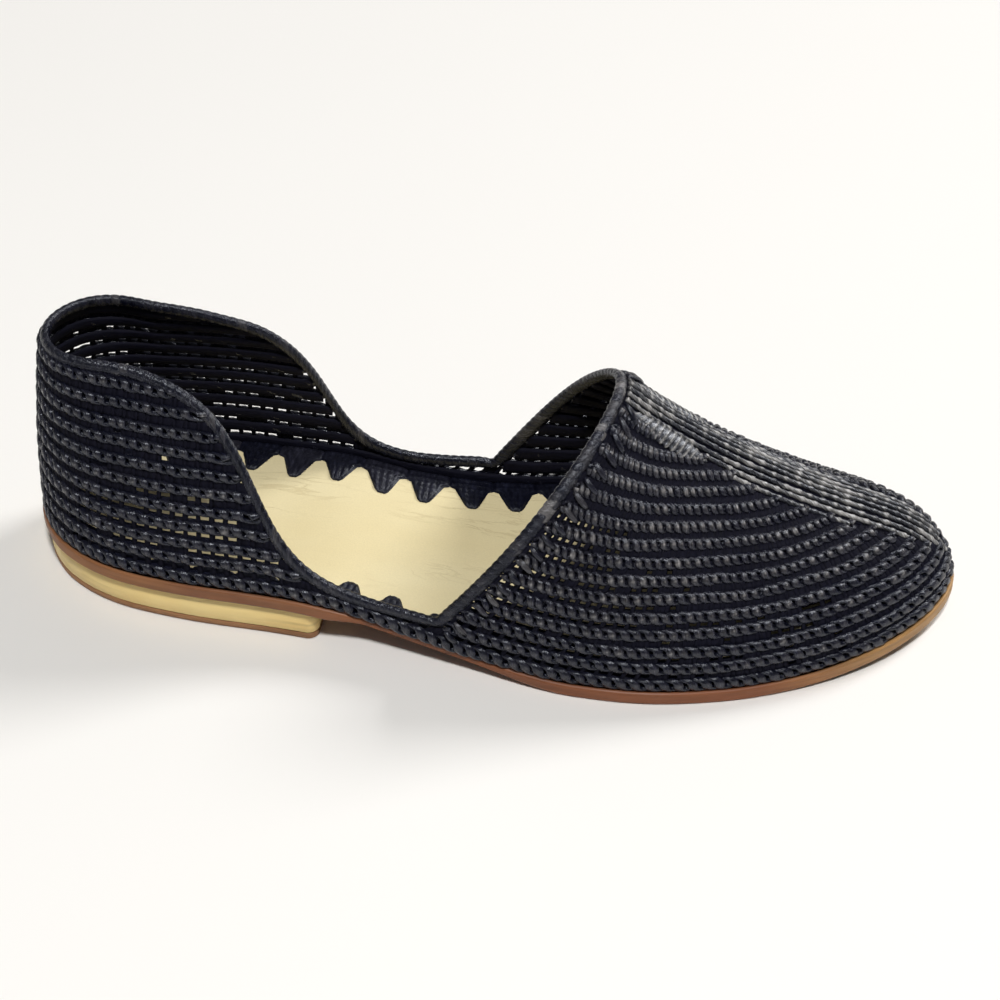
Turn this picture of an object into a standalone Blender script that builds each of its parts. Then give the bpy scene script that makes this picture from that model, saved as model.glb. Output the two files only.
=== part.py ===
"""Right d'Orsay flat: twined raffia upper, rolled topline, insole with stitched points, outsole, heel and lift."""

import math

import bpy
import numpy as np

MM = 0.001
SEAT_GAP = 0.3

# Driving sizes of the shoe, mm
LENGTH = 250.0
SOLE_THICK = 3.8
HEEL_HEIGHT = 9.7
LIFT_THICK = 2.0
HEEL_BREAST_X = 83.0
HEEL_INSET = 1.3
HEEL_CORNER = 3.0
INSOLE_THICK = 1.4
EDGE_CHAMFER = 0.6

# The outsole drawn in and bevelled from below at the waist, mm
WAIST_NIP = 1.4
WAIST_BEVEL = 2.6
WAIST_BEVEL_RISE = 2.0
NIP_START_X = 84.0
NIP_FULL_X = 98.0
NIP_FADE_X = 118.0
NIP_END_X = 152.0

# Sizes of the woven wall, mm
WALL = 1.9
FEATHER_INSET = 1.0
ROW_PITCH = 5.2
ROW_RELIEF = 0.55
LEAF_RELIEF = 0.4
BINDING_WIDTH = 3.2
BINDING_SWELL = 0.4

# Where the topline turns and where the vamp begins and ends, mm from the heel back
LATERAL_CORNER_X = 116.5
MEDIAL_CORNER_X = 122.0
CORNER_Z = 16.8
CORNER_ROWS = 1
THROAT_X = 158.0
THROAT_Z = 71.3
RIDGE_END_X = 227.0
LEAN_HEIGHT = 55.0
LEAN_BACK = 5.0
LEAN_SIDE = 13.5
LEAN_STRAIGHT = 0.25
LEAN_TURN_START_X = 2.0
LEAN_TURN_END_X = 34.0
WAIST_START_X = 84.0
WAIST_END_X = 110.0
SLANT_START_X = 88.0
SQUEEZE_START_X = 92.0
SPREAD_END_X = 96.0
UPRIGHT_END_X = 100.0

# Leaf of lengthwise ribs on each side of the ridge, mm
LEAF_THROAT_WIDTH = 7.0
LEAF_SWELL = 3.6
LEAF_TAPER = 3.2
LEAF_FADE_START = 0.8

# How wide rows lie at the throat's edge, how close they lie further forward, and the throat's binding
RIM_SQUEEZE = 0.873
FRONT_SQUEEZE = 1.172
SQUEEZE_POWER = 3.6
RIM_STRETCH = 1.2
RIM_STRETCH_DROP = 0.25
CORNER_LEAN = 0.537
STEEPEST = 1.5

# How finely the wall is divided
HEEL_COLUMNS = 15
VAMP_COLUMNS = 19
TOE_CROWD = 1.3
TOE_CLOSE = 2.0
TOE_TURN_START = 0.5
TOE_TURN_END = 0.9
LEAF_STEPS = 6
FINE = 60

# Gaps between the strips, mm
GAP_LENGTH = 3.6
GAP_HEIGHT = 1.3

# Stitched points along the insole, mm
POINT_PITCH = 12.0
POINT_BASE = 9.0
POINT_TIP = 2.8
POINT_DEPTH_LATERAL = 6.0
POINT_DEPTH_MEDIAL = 8.8
POINT_BAND_LATERAL = 1.8
POINT_BAND_MEDIAL = 3.4
POINT_THICK = 1.1
POINT_CLEAR = 1.9

# Plan of the outsole
OUTLINE_COLUMNS = ("x", "lateral", "medial")
OUTLINE = (
    (0.0, 0.0, 0.0),
    (3.0, -10.8, 10.4),
    (10.0, -20.2, 19.2),
    (25.0, -29.3, 27.4),
    (45.0, -33.7, 29.3),
    (75.0, -36.4, 28.0),
    (100.0, -39.8, 26.9),
    (125.0, -44.7, 29.3),
    (150.0, -48.6, 35.3),
    (170.0, -49.3, 38.8),
    (190.0, -46.0, 38.9),
    (210.0, -39.0, 36.0),
    (228.0, -28.9, 29.6),
    (240.0, -18.2, 21.0),
    (247.0, -8.0, 12.2),
    (250.0, 3.2, 3.2),
)

# Underside of the outsole above the floor
BOTTOM_COLUMNS = ("x", "z")
BOTTOM = (
    (0.0, HEEL_HEIGHT),
    (40.0, HEEL_HEIGHT),
    (66.0, HEEL_HEIGHT),
    (84.0, 9.0),
    (102.0, 5.6),
    (122.0, 2.5),
    (140.0, 0.6),
    (152.0, 0.0),
    (170.0, 0.0),
    (196.0, 0.0),
    (214.0, 0.7),
    (234.0, 2.8),
    (250.0, 5.0),
)

# Ridge of the last over the vamp, carried back over the open throat, and how full each side's section is
RIDGE_COLUMNS = ("x", "y", "z", "lateral_full", "medial_full")
RIDGE = (
    (100.0, -6.5, 97.0, -0.37, -0.43),
    (125.0, -6.5, 88.5, -0.37, -0.43),
    (142.0, -6.0, 81.5, -0.37, -0.43),
    (THROAT_X, -5.0, THROAT_Z, -0.37, -0.43),
    (170.0, -3.0, 60.6, -0.37, -0.43),
    (190.0, 0.0, 46.8, -0.35, -0.41),
    (210.0, 1.2, 37.0, -0.26, -0.32),
    (225.0, 2.0, 31.4, -0.13, -0.17),
    (236.0, 2.6, 26.9, -0.05, -0.06),
    (243.0, 3.0, 22.0, -0.02, -0.02),
    (247.0, 3.1, 16.6, 0.0, 0.0),
    (249.0, 3.2, 9.0, 0.0, 0.0),
)

# Topline behind the corner, seen from the side
TOPLINE_COLUMNS = ("lateral_x", "medial_x", "z")
TOPLINE = (
    (0.0, 0.0, 71.5),
    (22.0, 24.0, 72.3),
    (38.0, 40.0, 70.6),
    (48.5, 51.5, 67.5),
    (57.0, 65.0, 62.0),
    (62.5, 71.0, 54.5),
    (67.0, 75.0, 45.5),
    (71.5, 78.5, 36.0),
    (77.0, 82.5, 27.5),
    (84.0, 88.0, 21.8),
    (94.0, 96.5, 18.4),
    (106.0, 108.5, 17.2),
    (LATERAL_CORNER_X, MEDIAL_CORNER_X, CORNER_Z),
)

# Cut gaps: side, first and last column, first and last row, every how many columns
GAP_COLUMNS = ("side", "first", "last", "low_row", "high_row", "step")
GAPS = (
    ("lateral", 4, 9, 1, 4, 1),
    ("lateral", 3, 7, 5, 6, 2),
    ("medial", 3, 10, 1, 5, 1),
    ("medial", 2, 8, 6, 8, 2),
    ("lateral", 16, 19, 1, 4, 1),
    ("medial", 16, 19, 1, 4, 1),
)

LATERAL = -1
MEDIAL = 1
SIDES = {"lateral": LATERAL, "medial": MEDIAL}


def column(table, names, name):
    """One named column of a table as an array."""
    return np.array([row[names.index(name)] for row in table], float)


def slopes(knots, values):
    """Tangents of a smooth curve through the values, one for each knot."""
    step = np.diff(knots)
    rise = np.diff(values, axis=0) / step
    inner = (rise[:-1] * step[1:] + rise[1:] * step[:-1]) / (step[1:] + step[:-1])
    return np.concatenate([rise[:1], inner, rise[-1:]])


def smooth(knots, values, at):
    """Smooth curve through the values, read at one place or at many."""
    at = np.clip(np.asarray(at, float), knots[0], knots[-1])
    i = np.clip(np.searchsorted(knots, at, side="right") - 1, 0, len(knots) - 2)
    tangent = slopes(knots, values)
    step = knots[i + 1] - knots[i]
    t = (at - knots[i]) / step
    start = values[i] * (1 + 2 * t) * (1 - t) ** 2 + tangent[i] * step * t * (1 - t) ** 2
    end = values[i + 1] * t * t * (3 - 2 * t) + tangent[i + 1] * step * t * t * (t - 1)
    return start + end


def ease(value, low, high):
    """0 below low, 1 above high, with a soft change between."""
    t = np.clip((value - low) / (high - low), 0.0, 1.0)
    return t * t * (3 - 2 * t)


def turn_of(x, length=LENGTH):
    """Angle round the outline that stands for a distance from the heel back."""
    return np.arccos(np.clip(1 - 2 * np.asarray(x, float) / length, -1, 1))


def outline_knots():
    """Angles and widths round the whole outline, a little past its start and end."""
    turn = turn_of(column(OUTLINE, OUTLINE_COLUMNS, "x"))
    lateral = column(OUTLINE, OUTLINE_COLUMNS, "lateral")
    medial = column(OUTLINE, OUTLINE_COLUMNS, "medial")
    knots = np.concatenate([turn[:-1], 2 * math.pi - turn[:0:-1]])
    width = np.concatenate([lateral[:-1], medial[:0:-1]])
    knots = np.concatenate([knots[-3:] - 2 * math.pi, knots, knots[:4] + 2 * math.pi])
    width = np.concatenate([width[-3:], width, width[:4]])
    return knots, width


OUTLINE_KNOTS, OUTLINE_WIDTH = outline_knots()


def outline(turn, inset):
    """Plan point of the outline, moved inwards by the inset."""
    turn = np.asarray(turn, float)
    small = 1e-4

    def raw(angle):
        x = LENGTH / 2 * (1 - np.cos(angle))
        return np.stack([x, smooth(OUTLINE_KNOTS, OUTLINE_WIDTH, angle)], -1)

    along = raw(turn + small) - raw(turn - small)
    along /= np.linalg.norm(along, axis=-1, keepdims=True)
    inwards = np.stack([-along[..., 1], along[..., 0]], -1)
    return raw(turn) + inset * inwards


def side_turn(side, turn):
    return turn if side == LATERAL else 2 * math.pi - turn


def sole_bottom(x):
    height = smooth(column(BOTTOM, BOTTOM_COLUMNS, "x"), column(BOTTOM, BOTTOM_COLUMNS, "z"), x)
    return np.maximum(height, 0.0)


def sole_top(x):
    return sole_bottom(x) + SOLE_THICK


def feather(x):
    """Height of the wall's lower edge, just above the outsole."""
    return sole_top(x) + SEAT_GAP


def half_width(side, x):
    """Sideways place of the wall's lower edge at a distance from the heel back."""
    turn = side_turn(side, np.linspace(0, math.pi, 400))
    edge = outline(turn, FEATHER_INSET)
    return np.interp(x, edge[:, 0], edge[:, 1])


RIDGE_X = column(RIDGE, RIDGE_COLUMNS, "x")
RIDGE_TIP = RIDGE_X[-1]


def ridge(x, name):
    """One named value of the last's ridge."""
    knots = turn_of(RIDGE_X, RIDGE_TIP)
    return smooth(knots, column(RIDGE, RIDGE_COLUMNS, name), turn_of(x, RIDGE_TIP))


def vamp_point(side, x, lift):
    """Point of the last: lift is 0 at the feather line and a quarter turn at the ridge."""
    top_y = ridge(x, "y")
    top_z = ridge(x, "z")
    base_y = half_width(side, x)
    base_z = feather(x)
    fullness = ridge(x, "lateral_full" if side == LATERAL else "medial_full")
    out = np.cos(lift) * (1 + fullness * np.sin(lift) ** 2)
    y = top_y + (base_y - top_y) * out
    z = base_z + (top_z - base_z) * np.sin(lift)
    return np.stack(np.broadcast_arrays(x, y, z), -1)


def heel_point(side, turn, height):
    """Point of the heel cup, which leans in towards the collar."""
    base = outline(side_turn(side, turn), FEATHER_INSET)
    far = outline(side_turn(side, turn), FEATHER_INSET + 1.0)
    side_share = ease(base[..., 0], LEAN_TURN_START_X, LEAN_TURN_END_X)
    lean = LEAN_BACK + (LEAN_SIDE - LEAN_BACK) * side_share
    part = height / LEAN_HEIGHT
    inwards = lean * (LEAN_STRAIGHT * part + (1 - LEAN_STRAIGHT) * part * np.abs(part))
    plan = base + (far - base) * inwards[..., None]
    z = feather(base[..., 0]) + height
    return np.concatenate([plan, z[..., None]], -1)


def topline_z(side, x):
    name = "lateral_x" if side == LATERAL else "medial_x"
    return smooth(column(TOPLINE, TOPLINE_COLUMNS, name), column(TOPLINE, TOPLINE_COLUMNS, "z"), x)


def low_point(side, x, height):
    """Wall behind the corner: the heel cup, running into the last's side at the waist."""
    share = ease(x, WAIST_START_X, WAIST_END_X)
    top = ridge(np.maximum(x, RIDGE_X[0]), "z") - feather(x)
    lift = np.arcsin(np.clip(height / top, 0, 1))
    cup = heel_point(side, turn_of(x), height)
    last = vamp_point(side, x, lift)
    return cup * (1 - share[..., None]) + last * share[..., None]


RIM_SHIFT = (BINDING_WIDTH + SEAT_GAP) * RIM_STRETCH
RIM_RIDGE_X = THROAT_X + BINDING_WIDTH + SEAT_GAP


def corner_x(side):
    return LATERAL_CORNER_X if side == LATERAL else MEDIAL_CORNER_X


def rim_base(side):
    """Where the slanting plane of the throat's edge meets the feather line."""
    slant = (THROAT_X - corner_x(side)) / (THROAT_Z - CORNER_Z)
    return corner_x(side) + RIM_SHIFT - slant * (CORNER_Z - float(feather(corner_x(side))))


def stations(side):
    """Distances from the heel back at which the columns start, spread evenly round the outline."""
    turn = np.linspace(0, math.pi, 2000)
    path = outline(side_turn(side, turn), FEATHER_INSET)
    run = np.concatenate([[0], np.cumsum(np.linalg.norm(np.diff(path, axis=0), axis=1))])
    turn_run = np.interp(turn_of(rim_base(side)), turn, run)
    back = np.linspace(0, turn_run, HEEL_COLUMNS + 1)
    toe_ease = 1 - (1 - np.linspace(0, 1, VAMP_COLUMNS + 1)) ** TOE_CROWD
    front = turn_run + (run[-1] - turn_run) * toe_ease
    where = np.interp(np.concatenate([back, front[1:]]), run, turn)
    x = LENGTH / 2 * (1 - np.cos(where))
    vamp = slice(HEEL_COLUMNS + 1, None)
    x[vamp] = outline(side_turn(side, where[vamp]), FEATHER_INSET)[:, 0]
    return x


def rim_path(side, lift):
    """Distance from the heel back along the throat's edge, which lies in one slanting plane."""
    start = rim_base(side)
    low = np.full_like(lift, start)
    high = np.full_like(lift, RIM_RIDGE_X)
    base_z = feather(start)
    top_z = ridge(RIM_RIDGE_X, "z")
    for _ in range(40):
        middle = (low + high) / 2
        plane = base_z + (middle - start) / (RIM_RIDGE_X - start) * (top_z - base_z)
        above = vamp_point(side, middle, lift)[..., 2] > plane
        low = np.where(above, middle, low)
        high = np.where(above, high, middle)
    return low


def upright_path(side, base_x, ridge_x, lift):
    """Distance from the heel back along an upright cut from the feather line to the ridge."""
    base_y = half_width(side, base_x)
    ridge_y = ridge(ridge_x, "y")
    low = np.full_like(lift, ridge_x)
    high = np.full_like(lift, base_x)
    for _ in range(40):
        middle = (low + high) / 2
        line = base_y + (ridge_y - base_y) * (base_x - middle) / (base_x - ridge_x)
        inside = side * (vamp_point(side, middle, lift)[..., 1] - line) < 0
        high = np.where(inside, middle, high)
        low = np.where(inside, low, middle)
    return low


def run_length(points):
    return np.concatenate([[0], np.cumsum(np.linalg.norm(np.diff(points, axis=0), axis=1))])


class Column:
    """One line of the wall from the feather line upwards, with its marks along the way."""

    def __init__(self, index, side, points, squeeze, leaf):
        self.index = index
        self.side = side
        self.points = points
        self.run = run_length(points) * squeeze
        self.leaf = leaf
        self.marks = []

    def at(self, distance):
        return np.array([np.interp(distance, self.run, self.points[:, k]) for k in range(3)])


def make_column(index, side, base_x):
    count = HEEL_COLUMNS + VAMP_COLUMNS
    part = np.linspace(0, 1, FINE)
    rim_x = rim_base(side)
    if index < HEEL_COLUMNS:
        slant = ease(base_x, SLANT_START_X, rim_x) * (corner_x(side) + RIM_SHIFT / 2 - rim_x)
        top_x = base_x + slant
        small = 0.5
        grade = (topline_z(side, top_x + small) - topline_z(side, top_x - small)) / (2 * small)
        spread = math.sqrt(1 + min(abs(float(grade)), STEEPEST) ** 2)
        fade = 1 - ease(base_x, SPREAD_END_X, rim_x)
        edge = (BINDING_WIDTH + SEAT_GAP) * (1 + (spread - 1) * fade)
        height = topline_z(side, top_x) - feather(top_x) - edge
        x = base_x + slant * part
        points = low_point(side, x, height * part)
        squeeze = 1 - (1 - RIM_SQUEEZE) * ease(base_x, SQUEEZE_START_X, rim_x)
        made = Column(index, side, points, squeeze, None)
        made.spread = spread ** fade
        return made
    share = (index - HEEL_COLUMNS) / VAMP_COLUMNS
    toe = ease(share, TOE_TURN_START, TOE_TURN_END)
    lift = (1 - (1 - part) ** (1 + TOE_CLOSE * toe)) * math.pi / 2
    ridge_x = RIM_RIDGE_X + (RIDGE_END_X - RIM_RIDGE_X) * share
    if index == count:
        x = RIDGE_TIP + (RIDGE_END_X - RIDGE_TIP) * part ** 2
        points = vamp_point(side, x, np.full_like(x, math.pi / 2))
    else:
        rim = (rim_path(side, lift) - rim_x) / (RIM_RIDGE_X - rim_x)
        travel = rim * (1 - share) + (1 - np.cos(lift)) * share
        x = base_x + (ridge_x - base_x) * travel
        x = x * (1 - toe) + upright_path(side, base_x, ridge_x, lift) * toe
        points = vamp_point(side, x, lift)
    squeeze = FRONT_SQUEEZE - (FRONT_SQUEEZE - RIM_SQUEEZE) * (1 - share) ** SQUEEZE_POWER
    leaf = LEAF_THROAT_WIDTH + LEAF_SWELL * ease(share, 0.0, 0.3) - LEAF_TAPER * ease(share, 0.7, 1.0)
    made = Column(index, side, points, squeeze, leaf * squeeze)
    made.leaf_relief = LEAF_RELIEF * (1 - ease(share, LEAF_FADE_START, 1.0))
    return made


def mark_column(made):
    """Heights of the strips: even marks are valleys, odd marks are crests."""
    end = made.run[-1] - (made.leaf or 0.0)
    level = 0
    while level * ROW_PITCH / 2 < end - 1.0:
        relief = ROW_RELIEF if level % 2 else -ROW_RELIEF
        made.marks.append((("row", level), level * ROW_PITCH / 2, relief))
        level += 1
    if made.leaf is None:
        made.marks.append((("top", 0), end, 0.0))
        return
    for step in range(LEAF_STEPS + 1):
        relief = made.leaf_relief if step % 2 else -made.leaf_relief
        made.marks.append((("leaf", step), end + made.leaf * step / LEAF_STEPS, relief))


class Skin:
    """Points and faces gathered for one solid."""

    def __init__(self):
        self.points = []
        self.faces = []
        self.names = {}

    def add(self, point, name=None):
        if name is not None and name in self.names:
            return self.names[name]
        self.points.append(np.asarray(point, float))
        if name is not None:
            self.names[name] = len(self.points) - 1
        return len(self.points) - 1

    def face(self, *corners):
        kept = [c for i, c in enumerate(corners) if c != corners[i - 1]]
        if len(kept) > 2:
            self.faces.append(tuple(kept))


def zip_columns(skin, left, right, turned=False):
    """Faces between two chains of (distance, vertex), walking up whichever is behind."""
    i = 0
    j = 0
    while i < len(left) - 1 or j < len(right) - 1:
        both = i < len(left) - 1 and j < len(right) - 1
        if both and left[i + 1][2] == right[j + 1][2]:
            corners = (left[i][1], right[j][1], right[j + 1][1], left[i + 1][1])
            i += 1
            j += 1
        elif j == len(right) - 1 or (both and left[i + 1][0] < right[j + 1][0]):
            corners = (left[i][1], right[j][1], left[i + 1][1])
            i += 1
        else:
            corners = (left[i][1], right[j][1], right[j + 1][1])
            j += 1
        skin.face(*(corners[::-1] if turned else corners))


def wall_columns():
    """All columns in order: heel back, lateral side, toe, medial side."""
    outer = stations(LATERAL)
    inner = stations(MEDIAL)
    count = len(outer) - 1
    lateral = [make_column(i, LATERAL, outer[i]) for i in range(count + 1)]
    medial = [make_column(i, MEDIAL, inner[i]) for i in range(count - 1, 0, -1)]
    columns = lateral + medial
    for made in columns:
        mark_column(made)
    return columns


def vertex_name(made, mark):
    count = HEEL_COLUMNS + VAMP_COLUMNS
    kind, step = mark
    if kind == "leaf" and step == LEAF_STEPS:
        return ("ridge", made.index)
    side = 0 if made.index in (0, count) else made.side
    return (side, made.index, kind, step)


def corner_mark():
    return ("row", 2 * CORNER_ROWS)


def chain(made, skin, keep=None):
    """The column's marks as (distance, vertex, mark)."""
    found = []
    for mark, distance, _ in made.marks:
        if keep is None or keep(made, mark):
            found.append((distance, skin.names[vertex_name(made, mark)], mark))
    return found


def below_corner(links):
    marks = [link[2] for link in links]
    return links[: marks.index(corner_mark()) + 1]


def inner_keep(made, mark):
    """The inner skin is plain: it keeps one mark for each strip."""
    kind, step = mark
    if kind == "row":
        return step == 0 or step % 2 == 1 or (made.index == HEEL_COLUMNS and mark == corner_mark())
    return kind == "top" or step in (0, LEAF_STEPS // 2, LEAF_STEPS)


def is_rim_pair(left, right):
    pair = {left.index, right.index}
    return pair == {HEEL_COLUMNS - 1, HEEL_COLUMNS}


def gap_cells(columns):
    """Cells that hold a gap, as pairs of column places with the valley's level."""
    cells = set()
    for row in GAPS:
        entry = dict(zip(GAP_COLUMNS, row))
        for i, made in enumerate(columns):
            after = columns[(i + 1) % len(columns)]
            if made.side != SIDES[entry["side"]] or after.side != made.side:
                continue
            low = min(made.index, after.index)
            if not entry["first"] <= low <= entry["last"]:
                continue
            if (low - entry["first"]) % entry["step"] or is_rim_pair(made, after):
                continue
            for level in range(entry["low_row"], entry["high_row"] + 1):
                cells.add((i, 2 * level))
    return cells


def smooth_skin(columns):
    """The wall's face without relief, with a direction outwards at each vertex."""
    skin = Skin()
    for made in columns:
        for mark, distance, _ in made.marks:
            skin.add(made.at(distance), vertex_name(made, mark))
    for i, made in enumerate(columns):
        after = columns[(i + 1) % len(columns)]
        left = chain(made, skin)
        right = chain(after, skin)
        if is_rim_pair(made, after):
            left = below_corner(left) if made.index == HEEL_COLUMNS else left
            right = below_corner(right) if after.index == HEEL_COLUMNS else right
        zip_columns(skin, left, right)
    points = np.array(skin.points)
    normals = np.zeros_like(points)
    for face in skin.faces:
        for k in range(1, len(face) - 1):
            a, b, c = face[0], face[k], face[k + 1]
            across = np.cross(points[b] - points[a], points[c] - points[a])
            for corner in (a, b, c):
                normals[corner] += across
    normals /= np.linalg.norm(normals, axis=1, keepdims=True)
    return skin, points, normals


def add_gap(skin, cell, depth_of, turned, middle):
    """Faces of one cell with a gap in it. Gives the gap's four corners."""
    low_left, low_right, high_right, high_left = cell
    corners = [skin.points[c] for c in cell]
    width = (np.linalg.norm(corners[1] - corners[0]) + np.linalg.norm(corners[2] - corners[3])) / 2
    height = (np.linalg.norm(corners[3] - corners[0]) + np.linalg.norm(corners[2] - corners[1])) / 2
    u = GAP_LENGTH / width / 2
    v = GAP_HEIGHT / height / 2
    hole = []
    for du, dv in ((-u, -v), (u, -v), (u, v), (-u, v)):
        a = 0.5 + du
        b = 0.5 + dv
        spot = (corners[0] * (1 - a) + corners[1] * a) * (1 - b) + (corners[3] * (1 - a) + corners[2] * a) * b
        hole.append(skin.add(spot + depth_of))
    if middle is None:
        rings = [
            (low_left, low_right, hole[1], hole[0]),
            (low_right, high_right, hole[2], hole[1]),
            (high_right, high_left, hole[3], hole[2]),
            (high_left, low_left, hole[0], hole[3]),
        ]
    else:
        left, right = middle
        rings = [
            (low_left, low_right, hole[1], hole[0]),
            (low_right, right, hole[1]),
            (right, hole[2], hole[1]),
            (right, high_right, hole[2]),
            (high_right, high_left, hole[3], hole[2]),
            (high_left, left, hole[3]),
            (left, hole[0], hole[3]),
            (left, low_left, hole[0]),
        ]
    for ring in rings:
        skin.face(*(ring[::-1] if turned else ring))
    return hole


def split_chain(links, low, high):
    """Links up to one mark and from another mark on."""
    marks = [link[2] for link in links]
    return links[: marks.index(low) + 1], links[marks.index(high) :]


def skin_faces(skin, columns, offset, cells, keep, turned):
    """Faces of the outer or inner skin, with gaps. Gives the gaps' corners by cell."""
    holes = {}
    for i, made in enumerate(columns):
        after = columns[(i + 1) % len(columns)]
        left = [(d, v + offset, m) for d, v, m in chain(made, skin, keep)]
        right = [(d, v + offset, m) for d, v, m in chain(after, skin, keep)]
        if is_rim_pair(made, after):
            left = below_corner(left) if made.index == HEEL_COLUMNS else left
            right = below_corner(right) if after.index == HEEL_COLUMNS else right
        levels = sorted(level for column_place, level in cells if column_place == i)
        for level in levels:
            low = ("row", level - 1)
            high = ("row", level + 1)
            low_left, left = split_chain(left, low, high)
            low_right, right = split_chain(right, low, high)
            zip_columns(skin, low_left, low_right, turned)
            cell = (low_left[-1][1], low_right[-1][1], right[0][1], left[0][1])
            middle = None
            depth = np.zeros(3)
            if keep is None:
                middle = tuple(skin.names[vertex_name(m, ("row", level))] for m in (made, after))
                valley = (skin.points[middle[0]] + skin.points[middle[1]]) / 2
                depth = valley - sum(skin.points[c] for c in cell) / 4
            holes[(i, level)] = add_gap(skin, cell, depth, turned, middle)
        zip_columns(skin, left, right, turned)
    return holes


def usable_cells(columns, cells):
    """Only the cells whose crests reach high enough on both columns."""
    kept = set()
    for i, level in cells:
        after = columns[(i + 1) % len(columns)]
        marks = [{mark for mark, _, _ in made.marks} for made in (columns[i], after)]
        if all(("row", level + 1) in found for found in marks):
            kept.add((i, level))
    return kept


def rim_links(columns, skin, keep, offset):
    """The open edge round collar, waist and throat, in order, as (name, vertex)."""
    lateral = [made for made in columns if made.side == LATERAL and made.index <= HEEL_COLUMNS]
    medial = [made for made in columns if made.side == MEDIAL and 0 < made.index <= HEEL_COLUMNS]
    medial.sort(key=lambda made: -made.index)
    links = []
    for made in lateral + medial:
        found = chain(made, skin, keep)
        if made.index < HEEL_COLUMNS:
            links.append((made, found[-1][2], found[-1][1] + offset))
            continue
        marks = [link[2] for link in found]
        arch = found[marks.index(corner_mark()) :]
        if made.side == MEDIAL:
            arch = arch[::-1][1:]
        links.extend((made, link[2], link[1] + offset) for link in arch)
    return links


def make_upper(columns):
    """The woven wall as one closed solid, and what its edge needs to carry the binding."""
    skin, points, normals = smooth_skin(columns)
    relief = np.zeros(len(points))
    for made in columns:
        for mark, _, height in made.marks:
            relief[skin.names[vertex_name(made, mark)]] = height
    outer = points + normals * relief[:, None]
    inner = points - normals * WALL
    base = [skin.names[vertex_name(made, ("row", 0))] for made in columns]
    outer[base] = points[base]
    for group in (outer, inner):
        group[base, 2] = feather(group[base, 0])
    size = len(points)
    skin.points = list(outer) + list(inner)
    skin.faces = []
    cells = usable_cells(columns, gap_cells(columns))
    outside = skin_faces(skin, columns, 0, cells, None, False)
    inside = skin_faces(skin, columns, size, cells, inner_keep, True)
    for cell, hole in outside.items():
        other = inside[cell]
        for k in range(4):
            n = (k + 1) % 4
            skin.face(hole[k], hole[n], other[n], other[k])
    for i, start in enumerate(base):
        end = base[(i + 1) % len(base)]
        skin.face(end, start, start + size, end + size)
    close_rim(skin, rim_links(columns, skin, None, 0), rim_links(columns, skin, inner_keep, size))
    return skin, points, normals


def close_rim(skin, outside, inside):
    """Faces across the wall's thickness along its open edge."""
    at = {(made.index, made.side, mark): k for k, (made, mark, _) in enumerate(outside)}
    total = len(outside)
    for k, (made, mark, vertex) in enumerate(inside):
        after, after_mark, after_vertex = inside[(k + 1) % len(inside)]
        start = at[(made.index, made.side, mark)]
        end = at[(after.index, after.side, after_mark)]
        spot = start
        while spot != end:
            following = (spot + 1) % total
            skin.face(outside[spot][2], outside[following][2], vertex)
            spot = following
        skin.face(outside[end][2], after_vertex, vertex)


def rim_up(made, mark, distance):
    """Direction and stretch of the binding at a place of the wall's edge."""
    small = 0.5
    if made.index < HEEL_COLUMNS:
        along = made.points[-1] - made.points[-4]
        along /= np.linalg.norm(along)
        upright = np.array([0.0, along[1], along[2]])
        share = ease(made.points[0, 0], SLANT_START_X, UPRIGHT_END_X)
        along = along * (1 - share) + upright / np.linalg.norm(upright) * share
        return along * made.spread
    point = made.at(distance)
    part = np.interp(distance, made.run, np.linspace(0, 1, FINE))
    lift = part * math.pi / 2
    back = vamp_point(made.side, point[0] - small, lift) - vamp_point(made.side, point[0], lift)
    back = back / np.linalg.norm(back)
    if mark == corner_mark():
        return np.array([-CORNER_LEAN, 0.0, 1.0])
    return back * (RIM_STRETCH - RIM_STRETCH_DROP * np.sin(lift) ** 3)


def make_binding(columns, skin, points, normals):
    """Rolled edge, a closed loop seated on the wall's rim."""
    half = WALL / 2
    top = SEAT_GAP + BINDING_WIDTH
    section = (
        (SEAT_GAP, half),
        (SEAT_GAP + 0.7, half + BINDING_SWELL),
        (top - 0.9, half + BINDING_SWELL * 0.7),
        (top, 0.0),
        (top - 0.9, -half - BINDING_SWELL * 0.7),
        (SEAT_GAP + 0.7, -half - BINDING_SWELL),
        (SEAT_GAP, -half),
    )
    loop = Skin()
    rings = []
    for made, mark, vertex in rim_links(columns, skin, None, 0):
        distance = dict((m, d) for m, d, _ in made.marks)[mark]
        up = rim_up(made, mark, distance)
        out = normals[vertex]
        centre = points[vertex] - out * half
        rings.append([loop.add(centre + up * d + out * n) for d, n in section])
    for i, ring in enumerate(rings):
        after = rings[(i + 1) % len(rings)]
        for k in range(len(section)):
            n = (k + 1) % len(section)
            loop.face(ring[k], after[k], after[n], ring[n])
    return loop


def paired_slab(inset, count, layers):
    """A plate between outlines: layers are (extra inset, height), functions of x, from bottom to top."""
    skin = Skin()
    turns = np.linspace(0, math.pi, count + 1)
    rings = []
    for extra, height in layers:
        ring = []
        for turn in list(turns) + list(2 * math.pi - turns[-2:0:-1]):
            place = LENGTH / 2 * (1 - math.cos(turn))
            x, y = outline(turn, inset + extra(place))
            ring.append(skin.add((x, y, float(height(x)))))
        rings.append(ring)
    size = len(rings[0])
    for lower, upper in zip(rings, rings[1:]):
        for i in range(size):
            n = (i + 1) % size
            skin.face(lower[i], lower[n], upper[n], upper[i])
    for ring, turned in ((rings[0], True), (rings[-1], False)):
        for i in range(count):
            corners = (ring[i], ring[i + 1], ring[(size - i - 1) % size], ring[(size - i) % size])
            skin.face(*(corners[::-1] if turned else corners))
    return skin


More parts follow.
